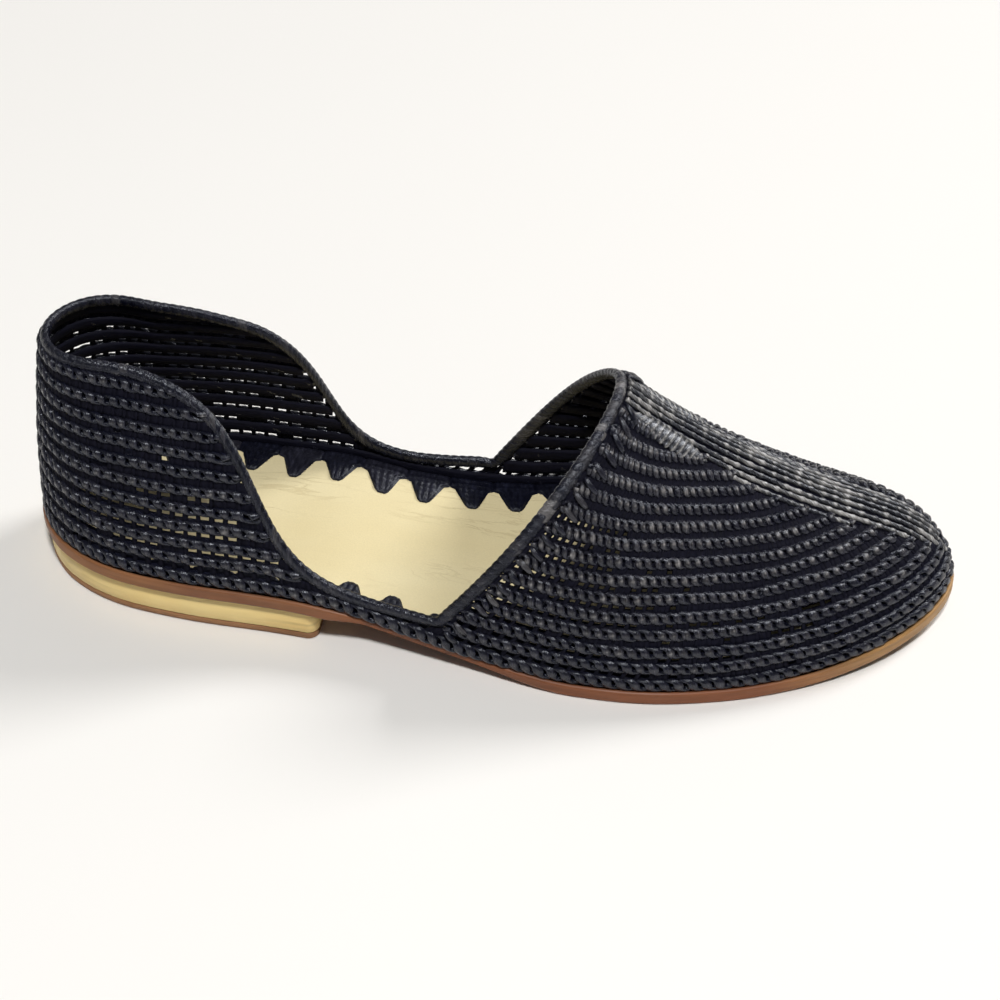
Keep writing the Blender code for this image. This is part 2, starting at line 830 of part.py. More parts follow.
def waist(x):
    """How far a place belongs to the waist, from 0 to 1."""
    return ease(x, NIP_START_X, NIP_FULL_X) * (1 - ease(x, NIP_FADE_X, NIP_END_X))


def make_outsole():
    def nip(x):
        return WAIST_NIP * waist(x)

    def bevel_inset(x):
        return nip(x) + EDGE_CHAMFER + (WAIST_BEVEL - EDGE_CHAMFER) * waist(x)

    def bevel_top(x):
        return sole_bottom(x) + EDGE_CHAMFER + (WAIST_BEVEL_RISE - EDGE_CHAMFER) * waist(x)

    layers = (
        (bevel_inset, sole_bottom),
        (nip, bevel_top),
        (nip, lambda x: sole_top(x) - EDGE_CHAMFER),
        (lambda x: nip(x) + EDGE_CHAMFER, sole_top),
    )
    return paired_slab(0.0, 46, layers)


def make_insole():
    inset = FEATHER_INSET + WALL + 2 * SEAT_GAP
    layers = (
        (lambda x: 0.0, feather),
        (lambda x: 0.2, lambda x: feather(x) + INSOLE_THICK),
    )
    return paired_slab(inset, 40, layers)


def heel_ring():
    """Plan of the heel block: the outsole's back with a straight breast and small round corners."""
    last = turn_of(HEEL_BREAST_X - HEEL_CORNER)
    turns = np.linspace(-last, last, 33)
    ring = [outline(turn % (2 * math.pi), HEEL_INSET) for turn in turns]
    for side, index in ((LATERAL, -1), (MEDIAL, 0)):
        end = ring[index]
        middle = end + np.array([HEEL_CORNER * 0.7, -side * HEEL_CORNER * 0.3])
        front = end + np.array([HEEL_CORNER, -side * HEEL_CORNER])
        if index == -1:
            ring = ring + [middle, front]
        else:
            ring = [front, middle] + ring
    return ring


def make_prism(ring, low, high):
    skin = Skin()
    bottom = [skin.add((x, y, low)) for x, y in ring]
    top = [skin.add((x, y, float(high(x)))) for x, y in ring]
    for i in range(len(ring)):
        n = (i + 1) % len(ring)
        skin.face(bottom[i], bottom[n], top[n], top[i])
    half = len(ring) // 2
    for i in range(half):
        j = len(ring) - 1 - i
        skin.face(bottom[j], bottom[j - 1], bottom[i + 1], bottom[i])
        skin.face(top[i], top[i + 1], top[j - 1], top[j])
    return skin


def make_edge_points():
    """Ring of blunt stitched points that lies on the insole along its edge."""
    inset = FEATHER_INSET + WALL + POINT_CLEAR
    turn = np.linspace(0, 2 * math.pi, 3000)
    run = run_length(outline(turn, inset))
    count = int(round(run[-1] / POINT_PITCH))
    pitch = run[-1] / count
    skin = Skin()
    rows = []
    for i in range(count):
        marks = {}
        middle = np.interp((i + 0.5) * pitch, run, turn)
        medial = ease(outline(middle, inset)[1], -12.0, 12.0)
        band = POINT_BAND_LATERAL + (POINT_BAND_MEDIAL - POINT_BAND_LATERAL) * medial
        tip = band + POINT_DEPTH_LATERAL + (POINT_DEPTH_MEDIAL - POINT_DEPTH_LATERAL) * medial
        for name, along, depth in (
            ("edge_left", -POINT_BASE / 2, 0.0),
            ("edge_right", POINT_BASE / 2, 0.0),
            ("base_left", -POINT_BASE / 2, band),
            ("base_right", POINT_BASE / 2, band),
            ("tip_left", -POINT_TIP / 2, tip),
            ("tip_right", POINT_TIP / 2, tip),
        ):
            at = np.interp((i + 0.5) * pitch + along, run, turn)
            x, y = outline(middle if "tip" in name else at, inset + depth)
            if "tip" in name:
                ahead = outline(middle + 0.01, inset) - outline(middle - 0.01, inset)
                x, y = np.array([x, y]) + ahead / np.linalg.norm(ahead) * along
            floor = float(feather(x)) + INSOLE_THICK + SEAT_GAP
            marks[name] = (skin.add((x, y, floor)), skin.add((x, y, floor + POINT_THICK)))
        rows.append(marks)
    for i, marks in enumerate(rows):
        after = rows[(i + 1) % count]
        plates = (
            (marks["edge_left"], marks["edge_right"], marks["base_right"], marks["base_left"]),
            (marks["base_left"], marks["base_right"], marks["tip_right"], marks["tip_left"]),
            (marks["edge_right"], after["edge_left"], after["base_left"], marks["base_right"]),
        )
        walls = (
            (marks["edge_left"], marks["edge_right"]),
            (marks["edge_right"], after["edge_left"]),
            (after["base_left"], marks["base_right"]),
            (marks["base_right"], marks["tip_right"]),
            (marks["tip_right"], marks["tip_left"]),
            (marks["tip_left"], marks["base_left"]),
        )
        for plate in plates:
            skin.face(*(corner[1] for corner in plate))
            skin.face(*(corner[0] for corner in plate[::-1]))
        for start, end in walls:
            skin.face(start[0], end[0], end[1], start[1])
    return skin


def frame_shift():
    """Moves the heel back's frame to the middle of the outsole's box."""
    around = outline(np.linspace(0, 2 * math.pi, 4000), 0.0)
    return np.array([*(around.min(axis=0) + around.max(axis=0)) / -2, 0.0])


def make_material(name, colour, roughness):
    material = bpy.data.materials.new(name)
    material.use_nodes = True
    shader = material.node_tree.nodes["Principled BSDF"]
    shader.inputs["Base Color"].default_value = (*colour, 1.0)
    shader.inputs["Roughness"].default_value = roughness
    return material


def add_object(name, skin, material, shift):
    used = sorted({corner for face in skin.faces for corner in face})
    place = {old: new for new, old in enumerate(used)}
    points = (np.array(skin.points)[used] + shift) * MM
    faces = [tuple(place[corner] for corner in face) for face in skin.faces]
    mesh = bpy.data.meshes.new(name)
    mesh.from_pydata(points.tolist(), [], faces)
    mesh.update()
    mesh.materials.append(material)
    made = bpy.data.objects.new(name, mesh)
    bpy.context.scene.collection.objects.link(made)
    return made


def main():
    for leftover in list(bpy.data.objects):
        bpy.data.objects.remove(leftover)
    raffia = make_material("raffia", (0.012, 0.012, 0.02), 0.55)
    pale_leather = make_material("pale_leather", (0.74, 0.58, 0.30), 0.6)
    sole_leather = make_material("sole_leather", (0.36, 0.15, 0.06), 0.5)
    pale_wood = make_material("pale_wood", (0.66, 0.48, 0.24), 0.55)
    lift_brown = make_material("lift_brown", (0.20, 0.10, 0.05), 0.6)
    shift = frame_shift()
    columns = wall_columns()
    upper, points, normals = make_upper(columns)
    binding = make_binding(columns, upper, points, normals)
    ring = heel_ring()
    add_object("upper", upper, raffia, shift)
    add_object("topline_binding", binding, raffia, shift)
    add_object("edge_points", make_edge_points(), raffia, shift)
    add_object("insole", make_insole(), pale_leather, shift)
    add_object("outsole", make_outsole(), sole_leather, shift)
    block = make_prism(ring, LIFT_THICK + SEAT_GAP, lambda x: sole_bottom(x) - SEAT_GAP)
    add_object("heel_block", block, pale_wood, shift)
    add_object("top_lift", make_prism(ring, 0.0, lambda x: LIFT_THICK), lift_brown, shift)


main()
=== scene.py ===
"""Looks of the right d'Orsay flat: raffia upper, pale insole, leather sole, wooden heel."""

import math
from collections import namedtuple

import bpy
import numpy as np
from mathutils import Matrix, Vector


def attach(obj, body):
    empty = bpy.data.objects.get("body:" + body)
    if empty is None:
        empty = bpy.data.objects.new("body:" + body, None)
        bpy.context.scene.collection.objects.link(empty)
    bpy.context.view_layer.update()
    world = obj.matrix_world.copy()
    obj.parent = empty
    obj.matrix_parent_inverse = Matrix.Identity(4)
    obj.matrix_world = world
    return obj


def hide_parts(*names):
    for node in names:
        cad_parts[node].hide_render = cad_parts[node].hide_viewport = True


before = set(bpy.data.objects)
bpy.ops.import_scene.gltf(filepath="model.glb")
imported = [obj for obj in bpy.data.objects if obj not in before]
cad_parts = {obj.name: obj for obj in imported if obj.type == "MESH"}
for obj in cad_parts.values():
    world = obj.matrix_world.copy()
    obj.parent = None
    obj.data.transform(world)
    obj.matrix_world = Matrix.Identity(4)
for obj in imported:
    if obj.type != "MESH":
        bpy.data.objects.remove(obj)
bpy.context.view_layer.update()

MM = 0.001
RANDOM = np.random.default_rng(11)
SEAT_GAP = 0.3

# Driving sizes of the shoe, mm, with shares and counts, as in the solids
LENGTH = 250.0
SOLE_THICK = 3.8
HEEL_HEIGHT = 9.7
LIFT_THICK = 2.0
HEEL_BREAST_X = 83.0
HEEL_INSET = 1.3
HEEL_CORNER = 3.0
INSOLE_THICK = 1.4
WAIST_NIP = 1.4
WAIST_BEVEL = 2.0
WAIST_BEVEL_RISE = 1.4
NIP_START_X = 84.0
NIP_FULL_X = 98.0
NIP_FADE_X = 118.0
NIP_END_X = 152.0
WALL = 1.9
FEATHER_INSET = 1.0
ROW_PITCH = 5.2
BINDING_WIDTH = 3.2
BINDING_SWELL = 0.4
LATERAL_CORNER_X = 116.5
MEDIAL_CORNER_X = 122.0
CORNER_Z = 16.8
THROAT_X = 158.0
THROAT_Z = 71.3
RIDGE_END_X = 227.0
LEAN_HEIGHT = 55.0
LEAN_BACK = 5.0
LEAN_SIDE = 13.5
LEAN_STRAIGHT = 0.25
LEAN_TURN_START_X = 2.0
LEAN_TURN_END_X = 34.0
WAIST_START_X = 84.0
WAIST_END_X = 110.0
SLANT_START_X = 88.0
SQUEEZE_START_X = 92.0
SPREAD_END_X = 96.0
UPRIGHT_END_X = 100.0
RIM_SQUEEZE = 0.873
FRONT_SQUEEZE = 1.172
SQUEEZE_POWER = 3.6
RIM_STRETCH = 1.2
RIM_STRETCH_DROP = 0.25
STEEPEST = 1.5
HEEL_COLUMNS = 15
VAMP_COLUMNS = 19
COLUMNS = HEEL_COLUMNS + VAMP_COLUMNS
TOE_CROWD = 1.3
TOE_CLOSE = 2.0
TOE_TURN_START = 0.5
TOE_TURN_END = 0.9
FINE = 60
POINT_PITCH = 12.0
POINT_TIP = 1.9
POINT_DEPTH_LATERAL = 6.0
POINT_DEPTH_MEDIAL = 8.8
POINT_BAND_LATERAL = 1.8
POINT_BAND_MEDIAL = 3.4
POINT_THICK = 1.1
POINT_CLEAR = 1.9
POINT_VALLEY = 1.3
POINT_LAP = 0.05

# Woven points on the insole, mm, and shares of the solid's sizes
POINT_NARROW = 0.72
POINT_LEAN = 0.6
POINT_SHORTEST = 0.78
POINT_LONGEST = 0.95
POINT_NOTCH = 0.75
POINT_BLUNT = 0.9
POINT_ROUND = 0.13
POINT_SIDE_Y = 12.0
POINT_SEAT = 0.4
POINT_WEAVE_LONG = 1.9
POINT_WEAVE_WIDE = 1.7
POINT_FLAT = 0.55
POINT_RELIEF = 0.5
POINT_BUMP = 0.6
POINT_SIDE_ROUND = 6
POINT_END_ROUND = 12
POINT_END = 1.02
POINT_ACROSS = 23
POINT_ALONG = 20

# Twined rows, mm: beads lie on upright strands that are evenly spaced along the feather line
WARP_PITCH = 3.7
WARP_SLACK = 0.4
BEAD_STEPS = 7
STRAND_SIDES = 7
HEEL_RISE = 1.1
VAMP_RISE = 1.28
SOLE_ROW_RISE = 1.5
SOLE_ROW_DROP = 0.5
ROPE_SWELL = 0.62
STRAND_THICK = 0.68
STRAND_WIDE = 1.55
LONGEST_BEAD = 1.15
SHORTEST_BEAD = 0.6
STRAND_LEAST = 0.6
STEEP = 0.33
ROW_SLACK = 1.0

# Random drift of strands: its size and the length that it changes over, in mm, or in angle for one bead
ROW_DRIFT = (0.16, 11.0)
BEAD_DRIFT = (0.05, 4.0)
GIRTH_DRIFT = (0.06, 5.0)

# Flat strand behind each row, mm
HEEL_HOLE_HIGH = 1.5
VAMP_HOLE_HIGH = 1.0
CORE_THICK = 0.45
CORE_DEEP = 0.95
CORE_STEP = 1.6
CORE_SIDES = 6
CORE_LEAST = 4

# Upright strands in the furrows between rows, mm
STEM_LEAST = 0.6
STEM_MOST = 0.9
STEM_THICK = 0.5
STEM_MISSING = 0.06
STEM_LEAN = 0.12
STEM_POINTS = 4
STEM_SIDES = 5
STEM_TUCK = 1.2
STEM_OVER = 0.8
STEM_SHORTEST = 0.5
LEVEL_EDGE = 0.9
LEVEL_SPAN = 2
FILL_WIDE = 1.7
FILL_THICK = 0.4

# Lengthwise ribs of the leaf and the pads beside its start, mm
RIB_PITCH = 2.3
RIB_BEAD = 3.6
RIB_RISE = 0.22
RIB_SWELL = 0.24
RIB_THICK = 0.38
RIB_WIDE = 0.8
RIB_STEEP = 0.1
RIB_PROUD = 0.2
RIB_CORE = 1.3
LEAF_LAP = 1.2
PAD_START_X = 163.0
PAD_END_X = 182.5
PAD_HALF = 3.1
PAD_OUT = 0.5
PAD_THICK = 1.0
PAD_WRAPS = 13
PAD_POINTS = 61
PAD_SIDES = 14
PAD_VALLEY = 0.66
PAD_SWELL = 0.34
PAD_ROUND = 0.6
PAD_TAPER = 0.7
PAD_LEAN = 0.5
PAD_LEAST = 0.02

# Rolled topline and its whip stitches, mm
WRAP_PITCH = 2.3
WRAP_DEPTH = 0.15
WRAP_LEAN = 1
BINDING_STEP = 0.4
BINDING_SIDES = 16
BINDING_PROUD = 0.15
BINDING_SOFT = 9.0
WRAP_ROUND = 0.5
RIM_REACH = SEAT_GAP + BINDING_WIDTH / 2
RIM_LAST = 0.13
RIM_BELOW = 2.0
THROAT_START = ROW_PITCH + 1.5
THROAT_STEP = 1.0
THROAT_SPAN = 4
WHIP_PITCH = 3.9
WHIP_LENGTH = 5.2
WHIP_LEAN = 2.6
WHIP_THICK = 0.55
WHIP_WIDE = 0.85
WHIP_POINTS = 7
WHIP_SIDES = 7
WHIP_LOW = 0.55
WHIP_ARCH = 0.45
WHIP_END = 4.0
WHIP_START = 0.2
WHIP_ROOM = 40
WHIP_SPAN = 4
WHIP_TIGHTEST = 0.2
WHIP_MIDDLE = 0.6
WHIP_BLUNT = 0.05
WHIP_ROUND = 0.4

# Insole and lift, mm, and a share of the gap between solids
WAVE_HIGH = 0.10
RIPPLE_HIGH = 0.05
LIFT_SEAT = 0.3

# Tints of strands, from 0 for the darkest to 1 for the palest, and where they change
HEEL_TONE = 0.43
# The lowest vamp rows start darker and reach the vamp's tone a few rows up: painted shade near the sole
SOLE_SHADE_TONE = 0.40
VAMP_TONE = 0.58
SOLE_SHADE_ROWS = 6
ROW_SPREAD = 0.08
# The leaf's ribs and pads read their tints from paler shades of the same raffia: painted sheen
RIB_TONE = 0.72
RIB_SPREAD = 0.2
BEAD_OVER = 0.4
# Painted highlight: tint added at the crest of each bead, and how tightly it gathers along and round the
# strand
CREST_HIGHLIGHT_TINT = 0.42
CREST_HIGHLIGHT_FRONT = 5
CREST_HIGHLIGHT_TOP = 2
CORE_TINT = 0.1
STEM_TINTS = (0.1, 0.6)
WHIP_TINTS = (0.3, 0.9)
POINT_TINTS = (0.1, 0.7)
# The pad's wraps are darkest in the grooves between them, as painted shade, and palest on their swells, as
# painted sheen
PAD_GROOVE_SHADE = 0.1
WRAP_TONE = 0.45
WRAP_SPREAD = 0.2
WRAP_PALEST = 0.85
# Tint added to the rolled edge towards the throat, and where it starts: painted highlight
RIM_THROAT_HIGHLIGHT = 0.22
THROAT_HIGHLIGHT_START_X = 132.0

# Scale of the fibres in the material: along a strand, round it, its random start, and over wound pieces
FIBRE_LONG = 0.35
FIBRE_ROUND = 2.6
FIBRE_START = 500
WRAP_FIBRE = (1.2, 7.1, 6.0, 3.7)
PAD_FIBRE = 4.0
POINT_FIBRE = (0.35, 6.0, 5.3)

# How closely curves and surfaces are read
CURVE_POINTS = 8000
OUTLINE_POINTS = 40000
EDGE_POINTS = 1200
LEAF_POINTS = 1200
LINE_POINTS = 3
LINE_LEAST = 8
PLACE_STEP = 1.0
RISE_STEP = 0.6
PLAN_STEP = 0.5
PLATE_POINTS = 180
PLATE_ACROSS = 25
HEEL_POINTS = 161
HEEL_CORNER_POINTS = 9
STATION_POINTS = 2000
POINT_RUN_POINTS = 3000
BOX_POINTS = 4000
LEAF_LIFTS = 240
WALL_LIFTS = 400
RIM_LIFTS = 200
RIM_LOWEST_LIFT = 0.6
HALVINGS = 30
TURN_STEP = 2e-3

# Plan of the outsole
OUTLINE = (
    ("x", "lateral", "medial"),
    (0.0, 0.0, 0.0),
    (3.0, -10.8, 10.4),
    (10.0, -20.2, 19.2),
    (25.0, -29.3, 27.4),
    (45.0, -33.7, 29.3),
    (75.0, -36.4, 28.0),
    (100.0, -39.8, 26.9),
    (125.0, -44.7, 29.3),
    (150.0, -48.6, 35.3),
    (170.0, -49.3, 38.8),
    (190.0, -46.0, 38.9),
    (210.0, -39.0, 36.0),
    (228.0, -28.9, 29.6),
    (240.0, -18.2, 21.0),
    (247.0, -8.0, 12.2),
    (250.0, 3.2, 3.2),
)

# Underside of the outsole above the floor
BOTTOM = (
    ("x", "z"),
    (0.0, HEEL_HEIGHT),
    (40.0, HEEL_HEIGHT),
    (66.0, HEEL_HEIGHT),
    (84.0, 9.0),
    (102.0, 5.6),
    (122.0, 2.5),
    (140.0, 0.6),
    (152.0, 0.0),
    (170.0, 0.0),
    (196.0, 0.0),
    (214.0, 0.7),
    (234.0, 2.8),
    (250.0, 5.0),
)

# Ridge of the last over the vamp, and how full each side's section is
RIDGE = (
    ("x", "y", "z", "lateral_full", "medial_full"),
    (100.0, -6.5, 97.0, -0.37, -0.43),
    (125.0, -6.5, 88.5, -0.37, -0.43),
    (142.0, -6.0, 81.5, -0.37, -0.43),
    (THROAT_X, -5.0, THROAT_Z, -0.37, -0.43),
    (170.0, -3.0, 60.6, -0.37, -0.43),
    (190.0, 0.0, 46.8, -0.35, -0.41),
    (210.0, 1.2, 37.0, -0.26, -0.32),
    (225.0, 2.0, 31.4, -0.13, -0.17),
    (236.0, 2.6, 26.9, -0.05, -0.06),
    (243.0, 3.0, 22.0, -0.02, -0.02),
    (247.0, 3.1, 16.6, 0.0, 0.0),
    (249.0, 3.2, 9.0, 0.0, 0.0),
)

# Topline behind the corner, seen from the side
TOPLINE = (
    ("lateral_x", "medial_x", "z"),
    (0.0, 0.0, 71.5),
    (22.0, 24.0, 72.3),
    (38.0, 40.0, 70.6),
    (48.5, 51.5, 67.5),
    (57.0, 65.0, 62.0),
    (62.5, 71.0, 54.5),
    (67.0, 75.0, 45.5),
    (71.5, 78.5, 36.0),
    (77.0, 82.5, 27.5),
    (84.0, 88.0, 21.8),
    (94.0, 96.5, 18.4),
    (106.0, 108.5, 17.2),
    (LATERAL_CORNER_X, MEDIAL_CORNER_X, CORNER_Z),
)

# Half width of the leaf over the vamp, and of the ribs in it, measured from the ridge
LEAF = (
    ("x", "edge", "ribs"),
    (140.0, 6.6, 4.4),
    (161.5, 7.6, 4.8),
    (172.0, 9.0, 5.4),
    (180.0, 8.7, 6.4),
    (187.0, 8.8, 8.6),
    (197.0, 10.8, 10.8),
    (213.5, 9.6, 9.6),
    (228.0, 8.6, 8.6),
    (236.0, 7.4, 7.4),
    (242.0, 5.0, 5.0),
    (246.5, 0.4, 0.4),
)

LATERAL = -1
MEDIAL = 1
SIDES = (LATERAL, MEDIAL)

# Where the furrows are open: first and last column, lowest and highest furrow, and the share of open cells
OPEN = (
    ("side", "first", "last", "low", "high", "chance"),
    (LATERAL, 3.0, 10.0, 1, 2, 0.92),
    (LATERAL, 3.4, 9.2, 3, 4, 0.92),
    (LATERAL, 5.0, 8.4, 5, 5, 0.85),
    (LATERAL, 2.0, 10.0, 5, 8, 0.10),
    (LATERAL, 10.5, 15.0, 1, 1, 0.9),
    (MEDIAL, 1.0, 11.5, 1, 2, 0.8),
    (MEDIAL, 1.0, 11.0, 3, 6, 0.92),
    (MEDIAL, 1.0, 8.0, 7, 9, 0.75),
    (MEDIAL, 10.5, 15.0, 1, 1, 0.9),
    (LATERAL, 15.0, 18.5, 1, 9, 0.85),
    (LATERAL, 18.5, 21.5, 1, 7, 0.65),
    (LATERAL, 21.5, 27.0, 1, 4, 0.4),
    (MEDIAL, 15.0, 20.0, 1, 5, 0.85),
    (MEDIAL, 15.0, 18.5, 6, 8, 0.6),
    (MEDIAL, 20.0, 26.0, 1, 4, 0.35),
)


def column(table, name):
    """One column of a table as an array. The table's first row holds the names."""
    return np.array([row[table[0].index(name)] for row in table[1:]], float)


def slopes(knots, values):
    """Tangents of a smooth curve through the values, one for each knot."""
    step = np.diff(knots)
    rise = np.diff(values, axis=0) / step
    inner = (rise[:-1] * step[1:] + rise[1:] * step[:-1]) / (step[1:] + step[:-1])
    return np.concatenate([rise[:1], inner, rise[-1:]])


def smooth(knots, values, at):
    """Smooth curve through the values, read at many places."""
    at = np.clip(at, knots[0], knots[-1])
    i = np.clip(np.searchsorted(knots, at, side="right") - 1, 0, len(knots) - 2)
    tangent = slopes(knots, values)
    step = knots[i + 1] - knots[i]
    t = (at - knots[i]) / step
    start = values[i] * (1 + 2 * t) * (1 - t) ** 2 + tangent[i] * step * t * (1 - t) ** 2
    end = values[i + 1] * t * t * (3 - 2 * t) + tangent[i + 1] * step * t * t * (t - 1)
    return start + end


class Curve:
    """Smooth curve through a table's values, kept as many close points."""

    def __init__(self, knots, values, close=CURVE_POINTS):
        self.at = np.linspace(knots[0], knots[-1], close)
        self.value = smooth(knots, values, self.at)

    def __call__(self, at):
        return np.interp(at, self.at, self.value)


def ease(value, low, high):
    """0 below low, 1 above high, with a soft change between."""
    t = np.clip((value - low) / (high - low), 0.0, 1.0)
    return t * t * (3 - 2 * t)


def unit(vectors):
    return vectors / np.maximum(np.linalg.norm(vectors, axis=-1, keepdims=True), 1e-9)


def run_length(points):
    """Distances along a line, one for each of its points."""
    return np.concatenate([[0], np.cumsum(np.linalg.norm(np.diff(points, axis=0), axis=1))])


def along_line(at, run, points):
    """Points of a line, read at distances along it."""
    return np.stack([np.interp(at, run, points[:, k]) for k in range(3)], -1)


def raised(plan, z):
    """Plan points, each with its height."""
    return np.concatenate([plan, z[..., None]], -1)


def square_to(tangent, direction):
    """A direction turned square to a line."""
    return unit(direction - tangent * (direction * tangent).sum(-1, keepdims=True))


def turn_of(x, length=LENGTH):
    """Angle round the outline that stands for a distance from the heel back."""
    return np.arccos(np.clip(1 - 2 * np.asarray(x, float) / length, -1, 1))


def outline_curve():
    """Width round the whole outline, a little past its start and end."""
    turn = turn_of(column(OUTLINE, "x"))
    lateral = column(OUTLINE, "lateral")
    medial = column(OUTLINE, "medial")
    knots = np.concatenate([turn[:-1], 2 * math.pi - turn[:0:-1]])
    width = np.concatenate([lateral[:-1], medial[:0:-1]])
    knots = np.concatenate([knots[-3:] - 2 * math.pi, knots, knots[:4] + 2 * math.pi])
    width = np.concatenate([width[-3:], width, width[:4]])
    return Curve(knots, width, OUTLINE_POINTS)


OUTLINE_WIDTH = outline_curve()
BOTTOM_Z = Curve(column(BOTTOM, "x"), column(BOTTOM, "z"))
RIDGE_X = column(RIDGE, "x")
RIDGE_TIP = RIDGE_X[-1]
RIDGE_CURVES = {
    name: Curve(turn_of(RIDGE_X, RIDGE_TIP), column(RIDGE, name)) for name in RIDGE[0][1:]
}
TOPLINE_Z = {
    side: Curve(column(TOPLINE, name), column(TOPLINE, "z"))
    for side, name in ((LATERAL, "lateral_x"), (MEDIAL, "medial_x"))
}


def outline(turn, inset):
    """Plan point of the outline, moved inwards by the inset."""
    turn = np.asarray(turn, float)

    def raw(angle):
        return np.stack([LENGTH / 2 * (1 - np.cos(angle)), OUTLINE_WIDTH(angle)], -1)

    along = unit(raw(turn + TURN_STEP) - raw(turn - TURN_STEP))
    inwards = np.stack([-along[..., 1], along[..., 0]], -1)
    return raw(turn) + np.asarray(inset)[..., None] * inwards


def side_turn(side, turn):
    return turn if side == LATERAL else 2 * math.pi - turn


def sole_bottom(x):
    return np.maximum(BOTTOM_Z(x), 0.0)


def feather(x):
    """Height of the wall's lower edge, just above the outsole."""
    return sole_bottom(x) + SOLE_THICK + SEAT_GAP


HALF_WAY = np.linspace(0, math.pi, EDGE_POINTS)
EDGE = {side: outline(side_turn(side, HALF_WAY), FEATHER_INSET) for side in SIDES}


def half_width(side, x):
    return np.interp(x, EDGE[side][:, 0], EDGE[side][:, 1])


def ridge(x, name):
    return RIDGE_CURVES[name](turn_of(x, RIDGE_TIP))


def vamp_point(side, x, lift):
    """Point of the last: lift is 0 at the feather line and a quarter turn at the ridge."""
    top_y = ridge(x, "y")
    base_z = feather(x)
    fullness = ridge(x, "lateral_full" if side == LATERAL else "medial_full")
    out = np.cos(lift) * (1 + fullness * np.sin(lift) ** 2)
    y = top_y + (half_width(side, x) - top_y) * out
    z = base_z + (ridge(x, "z") - base_z) * np.sin(lift)
    return np.stack(np.broadcast_arrays(x, y, z), -1)


def heel_point(side, turn, height):
    """Point of the heel cup, which leans in towards the collar."""
    base = outline(side_turn(side, turn), FEATHER_INSET)
    far = outline(side_turn(side, turn), FEATHER_INSET + 1.0)
    side_share = ease(base[..., 0], LEAN_TURN_START_X, LEAN_TURN_END_X)
    lean = LEAN_BACK + (LEAN_SIDE - LEAN_BACK) * side_share
    part = height / LEAN_HEIGHT
    inwards = lean * (LEAN_STRAIGHT * part + (1 - LEAN_STRAIGHT) * part * np.abs(part))
    plan = base + (far - base) * inwards[..., None]
    return raised(plan, feather(base[..., 0]) + height)


def low_point(side, x, height):
    """Wall behind the corner: the heel cup, running into the last's side at the waist."""
    share = ease(x, WAIST_START_X, WAIST_END_X)
    top = ridge(np.maximum(x, RIDGE_X[0]), "z") - feather(x)
    lift = np.arcsin(np.clip(height / top, 0, 1))
    cup = heel_point(side, turn_of(x), height)
    return cup * (1 - share[..., None]) + vamp_point(side, x, lift) * share[..., None]


RIM_SHIFT = (BINDING_WIDTH + SEAT_GAP) * RIM_STRETCH
RIM_RIDGE_X = THROAT_X + BINDING_WIDTH + SEAT_GAP


def corner_x(side):
    return LATERAL_CORNER_X if side == LATERAL else MEDIAL_CORNER_X


def rim_base(side):
    """Where the slanting plane of the throat's edge meets the feather line."""
    slant = (THROAT_X - corner_x(side)) / (THROAT_Z - CORNER_Z)
    return corner_x(side) + RIM_SHIFT - slant * (CORNER_Z - float(feather(corner_x(side))))


def stations(side, index):
    """Distances from the heel back at which columns start. An index may lie between two columns."""
    turn = np.linspace(0, math.pi, STATION_POINTS)
    run = run_length(outline(side_turn(side, turn), FEATHER_INSET))
    turn_run = np.interp(turn_of(rim_base(side)), turn, run)
    share = np.clip((index - HEEL_COLUMNS) / VAMP_COLUMNS, 0, 1)
    front = (run[-1] - turn_run) * (1 - (1 - share) ** TOE_CROWD)
    back = turn_run * np.minimum(index / HEEL_COLUMNS, 1)
    where = np.interp(back + front, run, turn)
    raw = LENGTH / 2 * (1 - np.cos(where))
    inset = outline(side_turn(side, where), FEATHER_INSET)[:, 0]
    return np.where(index > HEEL_COLUMNS, inset, raw)


def bisect(low, high, is_low):
    """Place between two bounds, for each entry, up to which the test holds."""
    for _ in range(HALVINGS):
        middle = (low + high) / 2
        below = is_low(middle)
        low = np.where(below, middle, low)
        high = np.where(below, high, middle)
    return low


def rim_path(side, lift):
    """Distance from the heel back along the throat's edge, which lies in one slanting plane."""
    start = rim_base(side)
    base_z = feather(start)
    top_z = ridge(RIM_RIDGE_X, "z")

    def above(x):
        plane = base_z + (x - start) / (RIM_RIDGE_X - start) * (top_z - base_z)
        return vamp_point(side, x, lift)[..., 2] > plane

    return bisect(np.full_like(lift, start), np.full_like(lift, RIM_RIDGE_X), above)


def upright_path(side, base_x, ridge_x, lift):
    """Distance from the heel back along an upright cut from the feather line to the ridge."""
    base_y = half_width(side, base_x)
    ridge_y = ridge(ridge_x, "y")

    def outside(x):
        line = base_y + (ridge_y - base_y) * (base_x - x) / (base_x - ridge_x)
        return side * (vamp_point(side, x, lift)[..., 1] - line) >= 0

    return bisect(np.full_like(lift, ridge_x), np.full_like(lift, base_x), outside)


def heel_column(side, base_x):
    """Points, squeeze and binding stretch of one column behind the corner."""
    part = np.linspace(0, 1, FINE)
    rim_x = rim_base(side)
    slant = ease(base_x, SLANT_START_X, rim_x) * (corner_x(side) + RIM_SHIFT / 2 - rim_x)
    top_x = base_x + slant
    ahead = TOPLINE_Z[side](top_x + PLAN_STEP)
    behind = TOPLINE_Z[side](top_x - PLAN_STEP)
    grade = (ahead - behind) / (2 * PLAN_STEP)
    spread = math.sqrt(1 + min(abs(float(grade)), STEEPEST) ** 2)
    fade = 1 - ease(base_x, SPREAD_END_X, rim_x)
    edge = (BINDING_WIDTH + SEAT_GAP) * (1 + (spread - 1) * fade)
    height = TOPLINE_Z[side](top_x) - feather(top_x) - edge
    points = low_point(side, base_x + slant * part, height * part)
    squeeze = 1 - (1 - RIM_SQUEEZE) * ease(base_x, SQUEEZE_START_X, rim_x)
    return points, squeeze, spread ** fade


